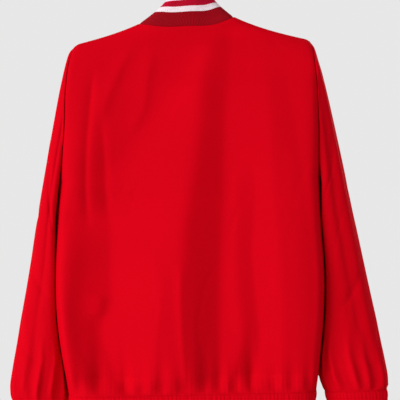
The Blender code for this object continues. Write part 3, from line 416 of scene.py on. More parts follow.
def cloth_piece(name, outer, out, inner=None, closed=False):
    """Cloth as a wall between an outer and an inner grid of points, with a metric UV map."""
    if inner is None:
        inner = outer - outward(outer, out, closed) * CLOTH
    rows, columns = outer.shape[:2]
    last_column = columns if closed else columns - 1
    i, j = np.meshgrid(np.arange(rows - 1), np.arange(last_column), indexing="ij")
    i, j = i.ravel(), j.ravel()
    corners = np.stack([(i, j), (i, j + 1), (i + 1, j + 1), (i + 1, j)], axis=1)
    ring = np.concatenate([outer, outer[:, :1]], axis=1) if closed else outer
    across = np.concatenate([[0], np.cumsum(np.linalg.norm(np.diff(ring, axis=1), axis=2).mean(0))])
    down = np.concatenate([[0], np.cumsum(np.linalg.norm(np.diff(outer, axis=0), axis=2).mean(1))])
    quads = (corners[0] * columns + corners[1] % columns).T
    uv = np.stack([across[corners[1]], down[corners[0]]], axis=-1).transpose(1, 0, 2)
    forward, backward = (slice(None, None, turn if out > 0 else -turn) for turn in (1, -1))
    size = rows * columns
    edges = [(i == 0, 0, 1), (i == rows - 2, 2, 3)]
    if not closed:
        edges += [(j == 0, 3, 0), (j == columns - 2, 2, 1)]
    faces, maps = [quads[:, forward], quads[:, backward] + size], [uv[:, forward], uv[:, backward]]
    for chosen, a, b in edges:
        one, two = quads[chosen, a], quads[chosen, b]
        faces.append(np.stack([one, two, two + size, one + size], 1)[:, backward])
        maps.append(uv[chosen][:, [a, b, b, a]][:, backward])
    faces, maps = np.concatenate(faces), np.concatenate(maps)
    points = np.concatenate([outer.reshape(-1, 3), inner.reshape(-1, 3)])
    mesh = bpy.data.meshes.new(name)
    mesh.from_pydata(points.tolist(), [], faces.tolist())
    mesh.uv_layers.new(name="UVMap").data.foreach_set("uv", maps.reshape(-1).astype(np.float32))
    mesh.shade_smooth()
    mesh.set_sharp_from_angle(angle=math.radians(72))
    piece = bpy.data.objects.new(name, mesh)
    scene.collection.objects.link(piece)
    return piece


def weave_group():
    """Plain weave: a shade that drifts over the cloth and the height of its threads."""
    group = bpy.data.node_groups.new("plain weave", "ShaderNodeTree")
    for socket, low in (("Thread", 0.0), ("Drift", 0.0)):
        made = group.interface.new_socket(socket, in_out="INPUT", socket_type="NodeSocketFloat")
        made.min_value = low
    for socket in ("Shade", "Height"):
        group.interface.new_socket(socket, in_out="OUTPUT", socket_type="NodeSocketFloat")
    nodes, links = group.nodes, group.links
    given, result = nodes.new("NodeGroupInput"), nodes.new("NodeGroupOutput")
    uv = nodes.new("ShaderNodeUVMap")
    uv.uv_map = "UVMap"
    split = nodes.new("ShaderNodeSeparateXYZ")
    links.new(uv.outputs["UV"], split.inputs["Vector"])

    def sums(operation, one, two=None):
        node = nodes.new("ShaderNodeMath")
        node.operation = operation
        for socket, value in zip(node.inputs, (one, two)):
            if isinstance(value, (int, float)):
                socket.default_value = value
            elif value is not None:
                links.new(value, socket)
        return node.outputs[0]

    threads = [
        sums("SINE", sums("MULTIPLY", sums("DIVIDE", along, given.outputs["Thread"]), math.pi))
        for along in (split.outputs[0], split.outputs[1])
    ]
    links.new(sums("ADD", sums("MULTIPLY", threads[0], threads[1]), 0.5), result.inputs["Height"])
    clouds = []
    for scale, detail in ((9.0, 3.0), (420.0, 2.0)):
        noise = nodes.new("ShaderNodeTexNoise")
        noise.inputs["Scale"].default_value = scale
        noise.inputs["Detail"].default_value = detail
        links.new(uv.outputs["UV"], noise.inputs["Vector"])
        clouds.append(sums("SUBTRACT", noise.outputs["Fac"], 0.5))
    drift = sums("ADD", *clouds)
    drift = sums("MULTIPLY", drift, given.outputs["Drift"])
    links.new(sums("ADD", drift, 1.0), result.inputs["Shade"])
    return group


WEAVE = weave_group()


def woven(material, thread, drift, bump, relief):
    """Lays the weave on a material. Returns the node that shades the colour it is given."""
    nodes, links = material.node_tree.nodes, material.node_tree.links
    shader = nodes["Principled BSDF"]
    weave = nodes.new("ShaderNodeGroup")
    weave.node_tree = WEAVE
    weave.inputs["Thread"].default_value = thread
    weave.inputs["Drift"].default_value = drift
    tint = nodes.new("ShaderNodeVectorMath")
    tint.operation = "SCALE"
    links.new(weave.outputs["Shade"], tint.inputs["Scale"])
    links.new(tint.outputs["Vector"], shader.inputs["Base Color"])
    raised = nodes.new("ShaderNodeBump")
    raised.inputs["Strength"].default_value = bump
    raised.inputs["Distance"].default_value = relief
    links.new(weave.outputs["Height"], raised.inputs["Height"])
    links.new(raised.outputs["Normal"], shader.inputs["Normal"])
    return tint


def cloth_material(name, colour, thread, drift, roughness, sheen, bump):
    """Cloth of one colour: woven threads, a drifting shade and a soft nap."""
    material = bpy.data.materials.new(name)
    material.use_nodes = True
    shader = material.node_tree.nodes["Principled BSDF"]
    shader.inputs["Roughness"].default_value = roughness
    shader.inputs["Specular IOR Level"].default_value = 0.012
    shader.inputs["Sheen Weight"].default_value = sheen
    shader.inputs["Sheen Roughness"].default_value = 0.45
    shader.inputs["Sheen Tint"].default_value = (*(min(1.0, c * 1.4) for c in colour), 1)
    woven(material, thread, drift, bump, thread * 0.5).inputs[0].default_value = colour
    return material


SHELL_RED = (0.645, 0.0004, 0.0080)
shell = cloth_material("red polyester", SHELL_RED, 0.00055, 0.04, 0.66, 0.05, 0.25)


def back_extra(x, z):
    creases = crumpled(x, z, ((-0.21, -0.72), (0.21, -0.14)), 40, 11, 0.0003)
    return (
        turned(BACK_TURNS, x, z) + folded(BACK_FOLDS, x, z) + creases,
        gathered(BACK_GATHERS, x, z) + small_gathers(x, z, GATHERED_HALF_WIDTH, 21),
    )


half = half_columns()
back_grid = panel("back", np.concatenate([-half[:0:-1], half]), back_extra)
back = cloth_piece("back_panel", back_grid, 1)
back.data.materials.append(shell)
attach(back, "garment")
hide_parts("back")

# ------------------------------------------------------------------ the fronts
# Two panels of the same cloth, hidden in the photo and finished plainly. Each runs to the
# zip at its inner edge and hangs in folds like those of the back.
ZIP_HALF = 0.0060
FRONT_FOLDS = (
    (((0.060, -0.150), (0.105, -0.260), (0.100, -0.480), (0.085, -0.700)),
     0.030, 0.026, 0.0046, 1.9),
    (((0.145, -0.180), (0.140, -0.360), (0.126, -0.560), (0.122, -0.760)),
     0.032, 0.012, -0.0078, 1.5),
    (((0.050, -0.230), (0.054, -0.430), (0.046, -0.720)), 0.018, 0.010, -0.0046, 1.5),
    (((0.195, -0.330), (0.196, -0.520), (0.184, -0.740)), 0.014, 0.018, 0.0040, 1.9),
    (((0.170, -0.160), (0.186, -0.250), (0.196, -0.350)), 0.010, 0.012, -0.0030, 1.5),
    (((0.100, -0.150), (0.130, -0.210), (0.165, -0.250)), 0.010, 0.009, -0.0018, 1.6),
    (((0.028, -0.420), (0.030, -0.560), (0.024, -0.745)), 0.007, 0.008, 0.0018, 1.6),
    (((-0.062, -0.150), (-0.098, -0.240), (-0.112, -0.400), (-0.118, -0.560)),
     0.024, 0.026, 0.0044, 1.9),
    (((-0.130, -0.200), (-0.136, -0.360), (-0.148, -0.540), (-0.150, -0.740)),
     0.011, 0.030, -0.0074, 1.5),
    (((-0.060, -0.330), (-0.066, -0.520), (-0.070, -0.740)), 0.018, 0.018, 0.0034, 1.9),
    (((-0.040, -0.230), (-0.043, -0.420), (-0.038, -0.660)), 0.010, 0.014, -0.0040, 1.5),
    (((-0.186, -0.370), (-0.190, -0.540), (-0.180, -0.740)), 0.012, 0.014, -0.0036, 1.7),
    (((-0.105, -0.150), (-0.130, -0.205), (-0.168, -0.240)), 0.009, 0.010, -0.0018, 1.6),
)
FRONT_GATHERS = (
    (0.200, 0.010, 0.080, -0.0045),
    (0.170, 0.010, 0.060, -0.0050),
    (0.138, 0.011, 0.110, -0.0065),
    (0.102, 0.010, 0.070, -0.0050),
    (0.070, 0.010, 0.090, -0.0060),
    (0.036, 0.009, 0.060, -0.0045),
    (-0.034, 0.009, 0.070, -0.0050),
    (-0.066, 0.010, 0.100, -0.0060),
    (-0.100, 0.010, 0.060, -0.0050),
    (-0.132, 0.011, 0.090, -0.0065),
    (-0.164, 0.009, 0.070, -0.0050),
    (-0.190, 0.008, 0.060, -0.0040),
)


def front_extra(x, z):
    creases = crumpled(x, z, ((-0.21, -0.72), (0.21, -0.20)), 45, 31, 0.0004)
    return (
        folded(FRONT_FOLDS, x, z) + creases,
        gathered(FRONT_GATHERS, x, z) + small_gathers(x, z, GATHERED_HALF_WIDTH, 41),
    )


front_grids = {}
for side, name in ((1, "left"), (-1, "right")):
    grid = panel("front", side * half_columns(ZIP_HALF / SHOULDER_HALF), front_extra)
    grid[:, 0, 0] = side * ZIP_HALF
    front_grids[side] = grid
    front = cloth_piece(f"front_panel_{name}", grid, -side)
    front.data.materials.append(shell)
    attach(front, "garment")
    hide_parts(f"front_{name}")

# ------------------------------------------------------------------ the sleeves
# One piece each, set into a dropped armhole. They hang beside the body, flattened
# between its edge and their own outer fold, and are gathered into the cuffs.
SLEEVE = (
    # outer x, outer z, off left, off right, inner z, half depth, centre y, gather depth
    (0.2065, -0.1400, 0.0000, 0.0000, -0.3780, 0.0330, 0.0010, 0.0000),
    (0.2150, -0.1510, 0.0018, 0.0018, -0.3790, 0.0400, -0.0020, 0.0000),
    (0.2225, -0.1730, 0.0018, 0.0018, -0.3900, 0.0445, -0.0060, 0.0000),
    (0.2320, -0.2070, 0.0018, 0.0018, -0.4030, 0.0490, -0.0100, 0.0000),
    (0.2425, -0.2540, 0.0018, 0.0018, -0.4190, 0.0530, -0.0145, 0.0000),
    (0.2532, -0.3080, 0.0018, 0.0018, -0.4400, 0.0560, -0.0180, 0.0000),
    (0.2635, -0.3600, 0.0018, 0.0018, -0.4640, 0.0575, -0.0205, 0.0000),
    (0.2730, -0.4100, 0.0018, 0.0018, -0.4920, 0.0580, -0.0220, 0.0000),
    (0.2825, -0.4580, 0.0018, 0.0018, -0.5220, 0.0575, -0.0230, 0.0000),
    (0.2915, -0.5050, 0.0018, 0.0018, -0.5520, 0.0560, -0.0235, 0.0000),
    (0.3000, -0.5500, 0.0018, 0.0018, -0.5830, 0.0535, -0.0235, 0.0000),
    (0.3080, -0.5920, 0.0018, 0.0018, -0.6140, 0.0505, -0.0225, 0.0000),
    (0.3155, -0.6310, 0.0018, 0.0018, -0.6450, 0.0470, -0.0210, 0.0000),
    (0.3225, -0.6670, 0.0018, 0.0018, -0.6750, 0.0430, -0.0190, 0.0012),
    (0.3280, -0.6980, 0.0018, 0.0018, -0.7020, 0.0390, -0.0165, 0.0024),
    (0.3315, -0.7230, 0.0018, 0.0040, -0.7260, 0.0340, -0.0135, 0.0034),
    (0.3315, -0.7410, 0.0020, 0.0110, -0.7430, 0.0270, -0.0110, 0.0020),
    (0.3285, -0.7500, 0.0025, 0.0150, -0.7510, 0.0215, -0.0095, 0.0000),
)
SLEEVE_WRAP = 0.024  # how far its inner edge laps round the body at the back
INNER_FULLNESS = {1: 0.45, -1: 0.70}  # how full the sleeve stays where it meets the body
OUTER_FULLNESS = 0.20  # and towards its outer edge
INNER_LIFT = {1: 0.004, -1: 0.014}  # and how far back it is carried there
NARROWER_AT = (0, 0.1, 0.2, 0.3, 0.4, 0.5, 0.6, 0.7, 0.8, 0.9, 1)
NARROWER = {
    # what each sleeve falls short of the table's outer edge, down its length
    1: (0, -0.0004, 0.0010, 0.0003, 0, 0.0012, 0.0012, 0.0004, 0.0012, 0.0016, 0.0016),
    -1: (0, 0.0022, 0.0026, 0.0020, 0.0018, 0.0016, 0.0012, 0.0006, 0.0003, -0.0006, -0.0008),
}
SIDE_CLEARANCE = 0.0016
FRONT_WRAP = 0.056  # and further at the front, so that no light comes through beside the body
LEAST_WRAP = 0.4  # share of that which is left just below the underarm
SETTLE = 17  # one part in this many of its length, over which it leaves the armhole's shape
LEFT_LOWER = 0.010  # the left sleeve ends lower by this
SLEEVE_POINTS, SLEEVE_RINGS = 132, 168
SLEEVE_LENGTH = 0.60
SLEEVE_GIRTH = 0.36

# Folds of a sleeve, laid out flat: metres round from the outer fold, back first, and
# metres down from the armhole, as a falling number.
SLEEVE_FOLDS = {
    1: (
        (((0.045, -0.030), (0.052, -0.200), (0.046, -0.380), (0.040, -0.600)),
         0.012, 0.016, 0.0026, 1.8),
        (((0.088, -0.060), (0.082, -0.260), (0.072, -0.430), (0.058, -0.590)),
         0.016, 0.009, -0.0036, 1.5),
        (((0.060, -0.170), (0.075, -0.215), (0.102, -0.245)), 0.012, 0.009, -0.0020, 1.6),
        (((0.040, -0.300), (0.066, -0.345), (0.100, -0.362)), 0.011, 0.009, -0.0022, 1.5),
        (((0.030, -0.405), (0.050, -0.450), (0.085, -0.480)), 0.010, 0.010, -0.0018, 1.6),
        (((0.020, -0.470), (0.024, -0.540), (0.018, -0.610)), 0.007, 0.006, -0.0030, 1.4),
        (((0.062, -0.480), (0.060, -0.550), (0.052, -0.610)), 0.006, 0.007, -0.0026, 1.4),
        (((0.300, -0.060), (0.292, -0.250), (0.305, -0.420), (0.318, -0.590)),
         0.014, 0.012, -0.0038, 1.6),
        (((0.270, -0.200), (0.300, -0.250), (0.330, -0.265)), 0.012, 0.010, -0.0024, 1.6),
        (((0.330, -0.330), (0.300, -0.380), (0.262, -0.400)), 0.012, 0.010, -0.0024, 1.6),
        (((0.335, -0.450), (0.330, -0.530), (0.338, -0.610)), 0.008, 0.008, 0.0022, 1.6),
    ),
    -1: (
        (((0.040, -0.020), (0.048, -0.180), (0.050, -0.380), (0.042, -0.600)),
         0.014, 0.010, 0.0030, 1.6),
        (((0.070, -0.100), (0.074, -0.300), (0.064, -0.450), (0.052, -0.600)),
         0.010, 0.018, -0.0034, 1.5),
        (((0.050, -0.150), (0.070, -0.185), (0.100, -0.200)), 0.012, 0.009, -0.0018, 1.6),
        (((0.035, -0.330), (0.060, -0.360), (0.095, -0.390)), 0.010, 0.009, -0.0022, 1.5),
        (((0.026, -0.440), (0.030, -0.520), (0.022, -0.610)), 0.008, 0.006, -0.0030, 1.4),
        (((0.068, -0.500), (0.062, -0.560), (0.058, -0.610)), 0.006, 0.007, -0.0024, 1.4),
        (((0.305, -0.080), (0.300, -0.240), (0.296, -0.420), (0.314, -0.590)),
         0.012, 0.014, -0.0036, 1.6),
        (((0.275, -0.230), (0.300, -0.270), (0.334, -0.280)), 0.011, 0.010, -0.0022, 1.6),
        (((0.335, -0.360), (0.300, -0.400), (0.268, -0.410)), 0.012, 0.010, -0.0024, 1.6),
    ),
}


def beside_body(side, y, z):
    """Half the body's width at a depth and height, for the sleeve to lie against."""
    row = (SHOULDER_EDGE_Z - z) / (SHOULDER_EDGE_Z - HEM_Z)
    behind = y > 0
    full = np.where(behind, through(z, BODY_Z, BODY_BACK), through(z, BODY_Z, BODY_FRONT))
    armhole = np.where(behind, armhole_reach("back", row), armhole_reach("front", row))
    share = np.clip((np.abs(y) - armhole) / (full - armhole), 0, 1)
    return side_x(side, z) * (1 - share**2) ** (1 / SQUARENESS)


def sleeve_grid(side):
    """A sleeve as rings of points from the armhole to the cuff, back half first."""
    table = np.array(SLEEVE)
    stations = np.linspace(0, 1, len(table))
    along = (1 - np.cos(np.linspace(0, math.pi, SLEEVE_RINGS + 1))) / 2
    along = 0.5 * along + 0.5 * np.linspace(0, 1, SLEEVE_RINGS + 1)
    outer_x, outer_z, off_left, off_right, inner_z, half_depth, centre_y, gather = (
        through(along, stations, table[:, k])[:, None] for k in range(8)
    )
    outer_x = outer_x - through(along, np.array(NARROWER_AT), np.array(NARROWER[side]))[:, None]
    off = off_left if side > 0 else off_right
    lower = LEFT_LOWER * eased((along - 0.6) / 0.4)[:, None] if side > 0 else 0
    outer_z, inner_z = outer_z - lower, inner_z - lower
    inner_x = side_x(side, inner_z) + off
    share = np.arange(SLEEVE_POINTS) / SLEEVE_POINTS
    turn = 2 * math.pi * share
    swing = np.cos(turn)[None, :]
    round_at = np.broadcast_to(share[None, :] * SLEEVE_GIRTH, (len(along), SLEEVE_POINTS))
    down = np.broadcast_to(-along[:, None] * SLEEVE_LENGTH, round_at.shape)
    held = eased(along / 0.08)[:, None] * eased((1 - along) / 0.04)[:, None]
    relief = folded(SLEEVE_FOLDS[side], round_at, down) * held
    cloth = ((0, -0.58), (SLEEVE_GIRTH, -0.03))
    relief += crumpled(round_at, down, cloth, 60, 51 + side, 0.0008) * held
    draw = np.random.default_rng(61 + side)
    puckers = np.zeros(SLEEVE_POINTS)
    for place in range(12):
        middle = (place + draw.uniform(-0.2, 0.2)) / 12
        away = (share - middle + 0.5) % 1 - 0.5
        puckers += draw.uniform(0.6, 1.4) * np.exp(-((away / draw.uniform(0.014, 0.024)) ** 2))
    relief = relief + gather * (1.6 * puckers[None, :] - 1.0)
    x = (outer_x + inner_x) / 2 + (outer_x - inner_x) / 2 * swing + relief * swing
    flat = np.clip((outer_x - inner_x) / 0.04, LEAST_WRAP, 1)
    flat = flat * np.clip((inner_z - HEM_Z) / 0.06, 0, 1)
    sine = np.sin(turn)[None, :]
    wrap = np.where(sine > 0, SLEEVE_WRAP * sine**2, FRONT_WRAP * np.abs(sine))
    x = x - wrap * flat * (1 - swing) / 2
    z = (outer_z + inner_z) / 2 + (outer_z - inner_z) / 2 * swing
    near = np.clip(-swing, 0, 1) ** 2 * (1 - eased((along[:, None] - 0.65) / 0.35))
    far = np.clip(swing, 0, 1) ** 2 * (1 - eased((along[:, None] - 0.80) / 0.20))
    fullness = 1 - INNER_FULLNESS[side] * near - OUTER_FULLNESS * far
    y = centre_y + (half_depth + relief) * np.sign(sine) * np.abs(sine) ** fullness
    y += INNER_LIFT[side] * near * np.clip(sine, 0, 1)
    x = np.maximum(x, beside_body(side, y, z) + SIDE_CLEARANCE * eased(along[:, None] * SETTLE))
    rings = np.stack([side * x, y, z], axis=-1)
    drop = (1 - np.cos(turn)) / 2
    rim_z = SHOULDER_EDGE_Z + (UNDERARM_Z - SHOULDER_EDGE_Z) * drop
    reach = np.where(np.sin(turn) > 0, ARMHOLE_DEPTH["back"], ARMHOLE_DEPTH["front"])
    rim = np.stack([side * side_x(side, rim_z), reach * np.sin(turn), rim_z], axis=-1)
    settle = (1 - eased(along * SETTLE))[:, None, None]
    return rings + (rim - rings[0])[None] * settle


sleeve_grids = {}
for side, name in ((1, "left"), (-1, "right")):
    grid = sleeve_grid(side)
    sleeve_grids[side] = grid
    sleeve = cloth_piece(f"sleeve_tube_{name}", grid, -side, closed=True)
    sleeve.data.materials.append(shell)
    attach(sleeve, "garment")
    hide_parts(f"sleeve_{name}")

# ------------------------------------------------------------------ the collar
# A stand collar of rib knit, one piece folded over, striped as it is knitted: a maroon
# base, then white, red and white bands, with a red edge. It is sewn to the neckline.
COLLAR_TOP = {
    "left": 0.0420, "right": 0.0345, "back": 0.0160, "front": -0.0760,
    "back_z": -0.0455, "front_z": -0.1130, "tilt": 0.0022,
}
COLLAR_HOLD = 3.4  # the higher, the further round the collar keeps its height at the back
COLLAR_FLARE = 1.6
COLLAR_ROWS = 38
COLLAR_THICK = 0.0026
RIBS = 148
RIB_POINTS = 6
RIB_HEIGHT = 0.00036
KNIT_LOOP = 0.0009
STRIPE_DIP = 0.015  # share of the height by which the bands run lower at the sides
MAROON = (0.345, 0.0008, 0.0075)
STRIPE_WHITE = (0.95, 0.83, 0.88)
STRIPE_RED = (0.545, 0.0020, 0.0280)
COLLAR_STRIPES = (
    # share of the height at which a band starts, its colour
    (0.0, MAROON),
    (0.408, STRIPE_WHITE),
    (0.561, STRIPE_RED),
    (0.736, STRIPE_WHITE),
    (0.89, STRIPE_RED),
)


def lengths_along(line):
    """How far along a line of points each of them lies."""
    return np.concatenate([[0], np.cumsum(np.linalg.norm(np.diff(line, axis=0), axis=1))])


def between(at, lengths, values):
    """The three values of each point, read at any lengths along their line."""
    return np.stack([np.interp(at, lengths, values[:, k]) for k in range(3)], axis=-1)


def along_line(line, count):
    """A line of points resampled evenly along its length."""
    lengths = lengths_along(line)
    return between(np.linspace(0, lengths[-1], count), lengths, line)


def collar_grids():
    """The collar's plain surface, and its ribbed outer and inner ones."""
    neck_left = front_grids[1][0]
    neck_left = neck_left[neck_left[:, 0] < NECK_LEFT]
    neck_right = front_grids[-1][0]
    neck_right = neck_right[neck_right[:, 0] > -NECK_RIGHT]
    back_top = back_grid[0]
    behind = back_top[(back_top[:, 0] < NECK_LEFT) & (back_top[:, 0] > -NECK_RIGHT)][::-1]
    neck = along_line(np.concatenate([neck_left, behind, neck_right[::-1]]), RIBS * RIB_POINTS + 1)
    centre_y = (COLLAR_TOP["back"] + COLLAR_TOP["front"]) / 2
    half_y = (COLLAR_TOP["back"] - COLLAR_TOP["front"]) / 2
    neck_y = (neck[:, 1].max() + neck[:, 1].min()) / 2
    half_neck_y = (neck[:, 1].max() - neck[:, 1].min()) / 2
    half_neck = np.where(neck[:, 0] > 0, NECK_LEFT, NECK_RIGHT)
    turn = np.arctan2((neck[:, 1] - neck_y) / half_neck_y, neck[:, 0] / half_neck)
    reach = np.where(neck[:, 0] > 0, COLLAR_TOP["left"], COLLAR_TOP["right"])
    backward = (1 + np.sin(turn)) / 2
    top = np.stack([
        reach * np.cos(turn),
        centre_y + half_y * np.sin(turn),
        COLLAR_TOP["front_z"] - COLLAR_TOP["tilt"] * np.cos(turn)
        + (COLLAR_TOP["back_z"] - COLLAR_TOP["front_z"]) * (1 - (1 - backward) ** COLLAR_HOLD),
    ], axis=-1)
    top[[0, -1], 0] = neck[[0, -1], 0]
    shares = np.linspace(0, 1, COLLAR_ROWS + 1)[:, None]
    lean = 1 - (1 - shares) ** (1 + (COLLAR_FLARE - 1) * backward[None, :])
    rings = neck[None] + (top - neck)[None] * lean[..., None]
    rings[..., 2] = neck[None, :, 2] + (top - neck)[None, :, 2] * shares
    out = outward(rings, 1)
    out[:, [0, -1], 0] = 0  # flat beside the zip
    rib = np.cos(2 * math.pi * np.arange(neck.shape[0]) / RIB_POINTS)
    rib[[0, -1]] = 0
    rolled = -COLLAR_THICK / 2 * (1 - np.sqrt(1 - np.clip((shares - 0.96) / 0.04, 0, 1) ** 2))
    sunk = -0.0012 * np.exp(-((shares / 0.05) ** 2))
    outer = rings + out * (RIB_HEIGHT * (rib - 1) + sunk + rolled)[..., None]
    inner = rings - out * (COLLAR_THICK + rolled - RIB_HEIGHT * (rib - 1))[..., None]
    return rings, outer, inner, shares + STRIPE_DIP * np.cos(turn[None]) ** 2


def knit_material():
    """Rib knit whose bands follow the height of the collar, with a soft loopy surface."""
    material = bpy.data.materials.new("striped rib knit")
    material.use_nodes = True
    nodes, links = material.node_tree.nodes, material.node_tree.links
    shader = nodes["Principled BSDF"]
    shader.inputs["Roughness"].default_value = 0.9
    shader.inputs["Specular IOR Level"].default_value = 0.02
    shader.inputs["Sheen Weight"].default_value = 0.04
    shader.inputs["Sheen Roughness"].default_value = 0.6
    uv = nodes.new("ShaderNodeUVMap")
    uv.uv_map = "UVMap"
    split = nodes.new("ShaderNodeSeparateXYZ")
    links.new(uv.outputs["UV"], split.inputs["Vector"])
    height = nodes.new("ShaderNodeAttribute")
    height.attribute_name = "height"
    wobble = nodes.new("ShaderNodeTexNoise")
    wobble.inputs["Scale"].default_value = 700.0
    links.new(uv.outputs["UV"], wobble.inputs["Vector"])
    shift = nodes.new("ShaderNodeMath")
    shift.operation = "MULTIPLY_ADD"
    shift.inputs[1].default_value = 0.012
    links.new(wobble.outputs["Fac"], shift.inputs[0])
    links.new(height.outputs["Fac"], shift.inputs[2])
    bands = nodes.new("ShaderNodeValToRGB")
    bands.color_ramp.interpolation = "CONSTANT"
    stops = bands.color_ramp.elements
    for index, (start, colour) in enumerate(COLLAR_STRIPES):
        stop = stops[index] if index < 2 else stops.new(start)
        stop.position = start
        stop.color = (*colour, 1)
    links.new(shift.outputs[0], bands.inputs["Fac"])
    tint = woven(material, KNIT_LOOP, 0.10, 0.5, 0.0004)
    links.new(bands.outputs["Color"], tint.inputs[0])
    return material


grid, collar_outer, collar_inner, band_level = collar_grids()
collar = cloth_piece("knit_collar", collar_outer, 1, collar_inner)
level = collar.data.attributes.new("height", "FLOAT", "POINT")
level.data.foreach_set("value", np.tile(band_level.ravel(), 2))
collar.data.materials.append(knit_material())
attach(collar, "garment")
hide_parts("collar")

# ------------------------------------------------------------------ the waistband
# A casing of the shell cloth over wide elastic, sewn through in three channels, so that
# the cloth stands in fine uneven puckers between the rows of stitches.
BAND_HEIGHT = 0.055
BAND_TAPER = 0.985
BAND_THICK = 0.0024
BAND_POINTS, BAND_ROWS = 720, 26
CHANNELS = 3
PUCKER, PUCKER_PITCH = 0.0010, 0.0062


def elastic_grids(top, bottom_of, points, rows, seed, out, closed):
    """An elastic casing below a seam line: its plain surface, puckered outside and inside."""
    line = np.concatenate([top, top[:1]]) if closed else top
    line = along_line(line, points + 1)
    if closed:
        line = line[:-1]
    lower = bottom_of(line)
    shares = np.linspace(0, 1, rows + 1)[:, None, None]
    rings = line[None] + (lower - line)[None] * shares
    normals = outward(rings, out, closed)
    if not closed:
        normals[:, [0, -1], 0] = 0  # flat beside the zip
    draw = np.random.default_rng(seed)
    count = int(lengths_along(line)[-1] / PUCKER_PITCH)
    at = np.arange(line.shape[0]) / line.shape[0] * count
    wave = np.zeros((CHANNELS, line.shape[0]))
    for channel in range(CHANNELS):
        for k in range(-1, count + 2):
            away = at - k - draw.uniform(-0.28, 0.28)
            high = draw.uniform(0.4, 1.2)
            wave[channel] += high * np.exp(-((away / draw.uniform(0.22, 0.36)) ** 2))
    level = np.linspace(0, CHANNELS, rows + 1)
    channel = np.minimum(level.astype(int), CHANNELS - 1)
    bulge = np.abs(np.sin(math.pi * level))[:, None] ** 0.7
    mixed = wave[channel] * 0.7 + wave.mean(axis=0)[None, :] * 0.3
    relief = PUCKER * bulge * (0.35 + mixed) - 0.0006 * (1 - bulge)
    if not closed:
        relief[:, [0, -1]] = 0
    outer = rings + normals * relief[..., None]
    return rings, outer, rings - normals * (BAND_THICK + 0.4 * relief)[..., None]


def band_bottom(line):
    middle = line.mean(axis=0)
    lower = middle + (line - middle) * BAND_TAPER
    lower[:, 2] = HEM_Z - BAND_HEIGHT
    lower[[0, -1], 0] = line[[0, -1], 0]
    return lower


hem = np.concatenate([front_grids[1][-1], back_grid[-1, -2:0:-1], front_grids[-1][-1][::-1]])
band_grid, band_outer, band_inner = elastic_grids(
    hem, band_bottom, BAND_POINTS, BAND_ROWS, 71, -1, False
)
waistband = cloth_piece("elastic_waistband", band_outer, -1, band_inner)
waistband.data.materials.append(shell)
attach(waistband, "garment")
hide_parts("waistband")

# ------------------------------------------------------------------ the cuffs
# The same elastic casing, closed in a ring round each wrist.
CUFF_LENGTH, CUFF_LEAN, CUFF_TAPER = 0.056, 0.0075, 0.93
CUFF_POINTS, CUFF_ROWS = 216, 26

cuff_grids = {}
for side, name in ((1, "left"), (-1, "right")):

    def cuff_bottom(line):
        middle = line.mean(axis=0)
        lower = middle + (line - middle) * CUFF_TAPER
        return lower + np.array([side * CUFF_LEAN, 0, -CUFF_LENGTH])

    rim = sleeve_grids[side][-1]
    grid, outer, inner = elastic_grids(
        rim, cuff_bottom, CUFF_POINTS, CUFF_ROWS, 81 + side, -side, True
    )
    cuff_grids[side] = grid, outer
    cuff = cloth_piece(f"elastic_cuff_{name}", outer, -side, inner, closed=True)
    cuff.data.materials.append(shell)
    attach(cuff, "garment")
    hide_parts(f"cuff_{name}")

# ------------------------------------------------------------------ the zip
# Moulded teeth on two woven tapes, closed from the waistband to the collar's top edge.
# The tapes, the retainer box, the slider and its pull keep their built shapes.
TOOTH_PITCH = 0.0030
TOOTH_THICK = 0.0025
TOOTH = (
    # a tooth's upper edge, from its root on the tape to its head over the middle: how far
    # it is across from the middle, and half its height there
    (0.0034, 0.00060), (0.0014, 0.00045), (0.0006, 0.00065), (-0.0006, 0.00065), (-0.0012, 0.00040),
)
TAPE_RED = (0.42, 0.0015, 0.0070)


def plain_material(name, colour, roughness, metallic=0.0, grain=0.0):
    """Moulded plastic, paint or metal, with a faint uneven gloss."""
    material = bpy.data.materials.new(name)
    material.use_nodes = True
    nodes, links = material.node_tree.nodes, material.node_tree.links
    shader = nodes["Principled BSDF"]
    shader.inputs["Base Color"].default_value = (*colour, 1)
    shader.inputs["Metallic"].default_value = metallic
    place = nodes.new("ShaderNodeTexCoord")
    noise = nodes.new("ShaderNodeTexNoise")
    noise.inputs["Scale"].default_value = 90.0
    noise.inputs["Detail"].default_value = 4.0
    links.new(place.outputs["Object"], noise.inputs["Vector"])
    gloss = nodes.new("ShaderNodeMapRange")
    gloss.inputs["To Min"].default_value = roughness * 0.8
    gloss.inputs["To Max"].default_value = roughness * 1.2
    links.new(noise.outputs["Fac"], gloss.inputs["Value"])
    links.new(gloss.outputs["Result"], shader.inputs["Roughness"])
    if grain:
        raised = nodes.new("ShaderNodeBump")
        raised.inputs["Strength"].default_value = grain
        raised.inputs["Distance"].default_value = 0.0002
        links.new(noise.outputs["Fac"], raised.inputs["Height"])
        links.new(raised.outputs["Normal"], shader.inputs["Normal"])
    return material


def dressed(node, material):
    """A built node keeps its shape and takes this material."""
    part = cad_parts[node]
    part.data.materials.clear()
    part.data.materials.append(material)


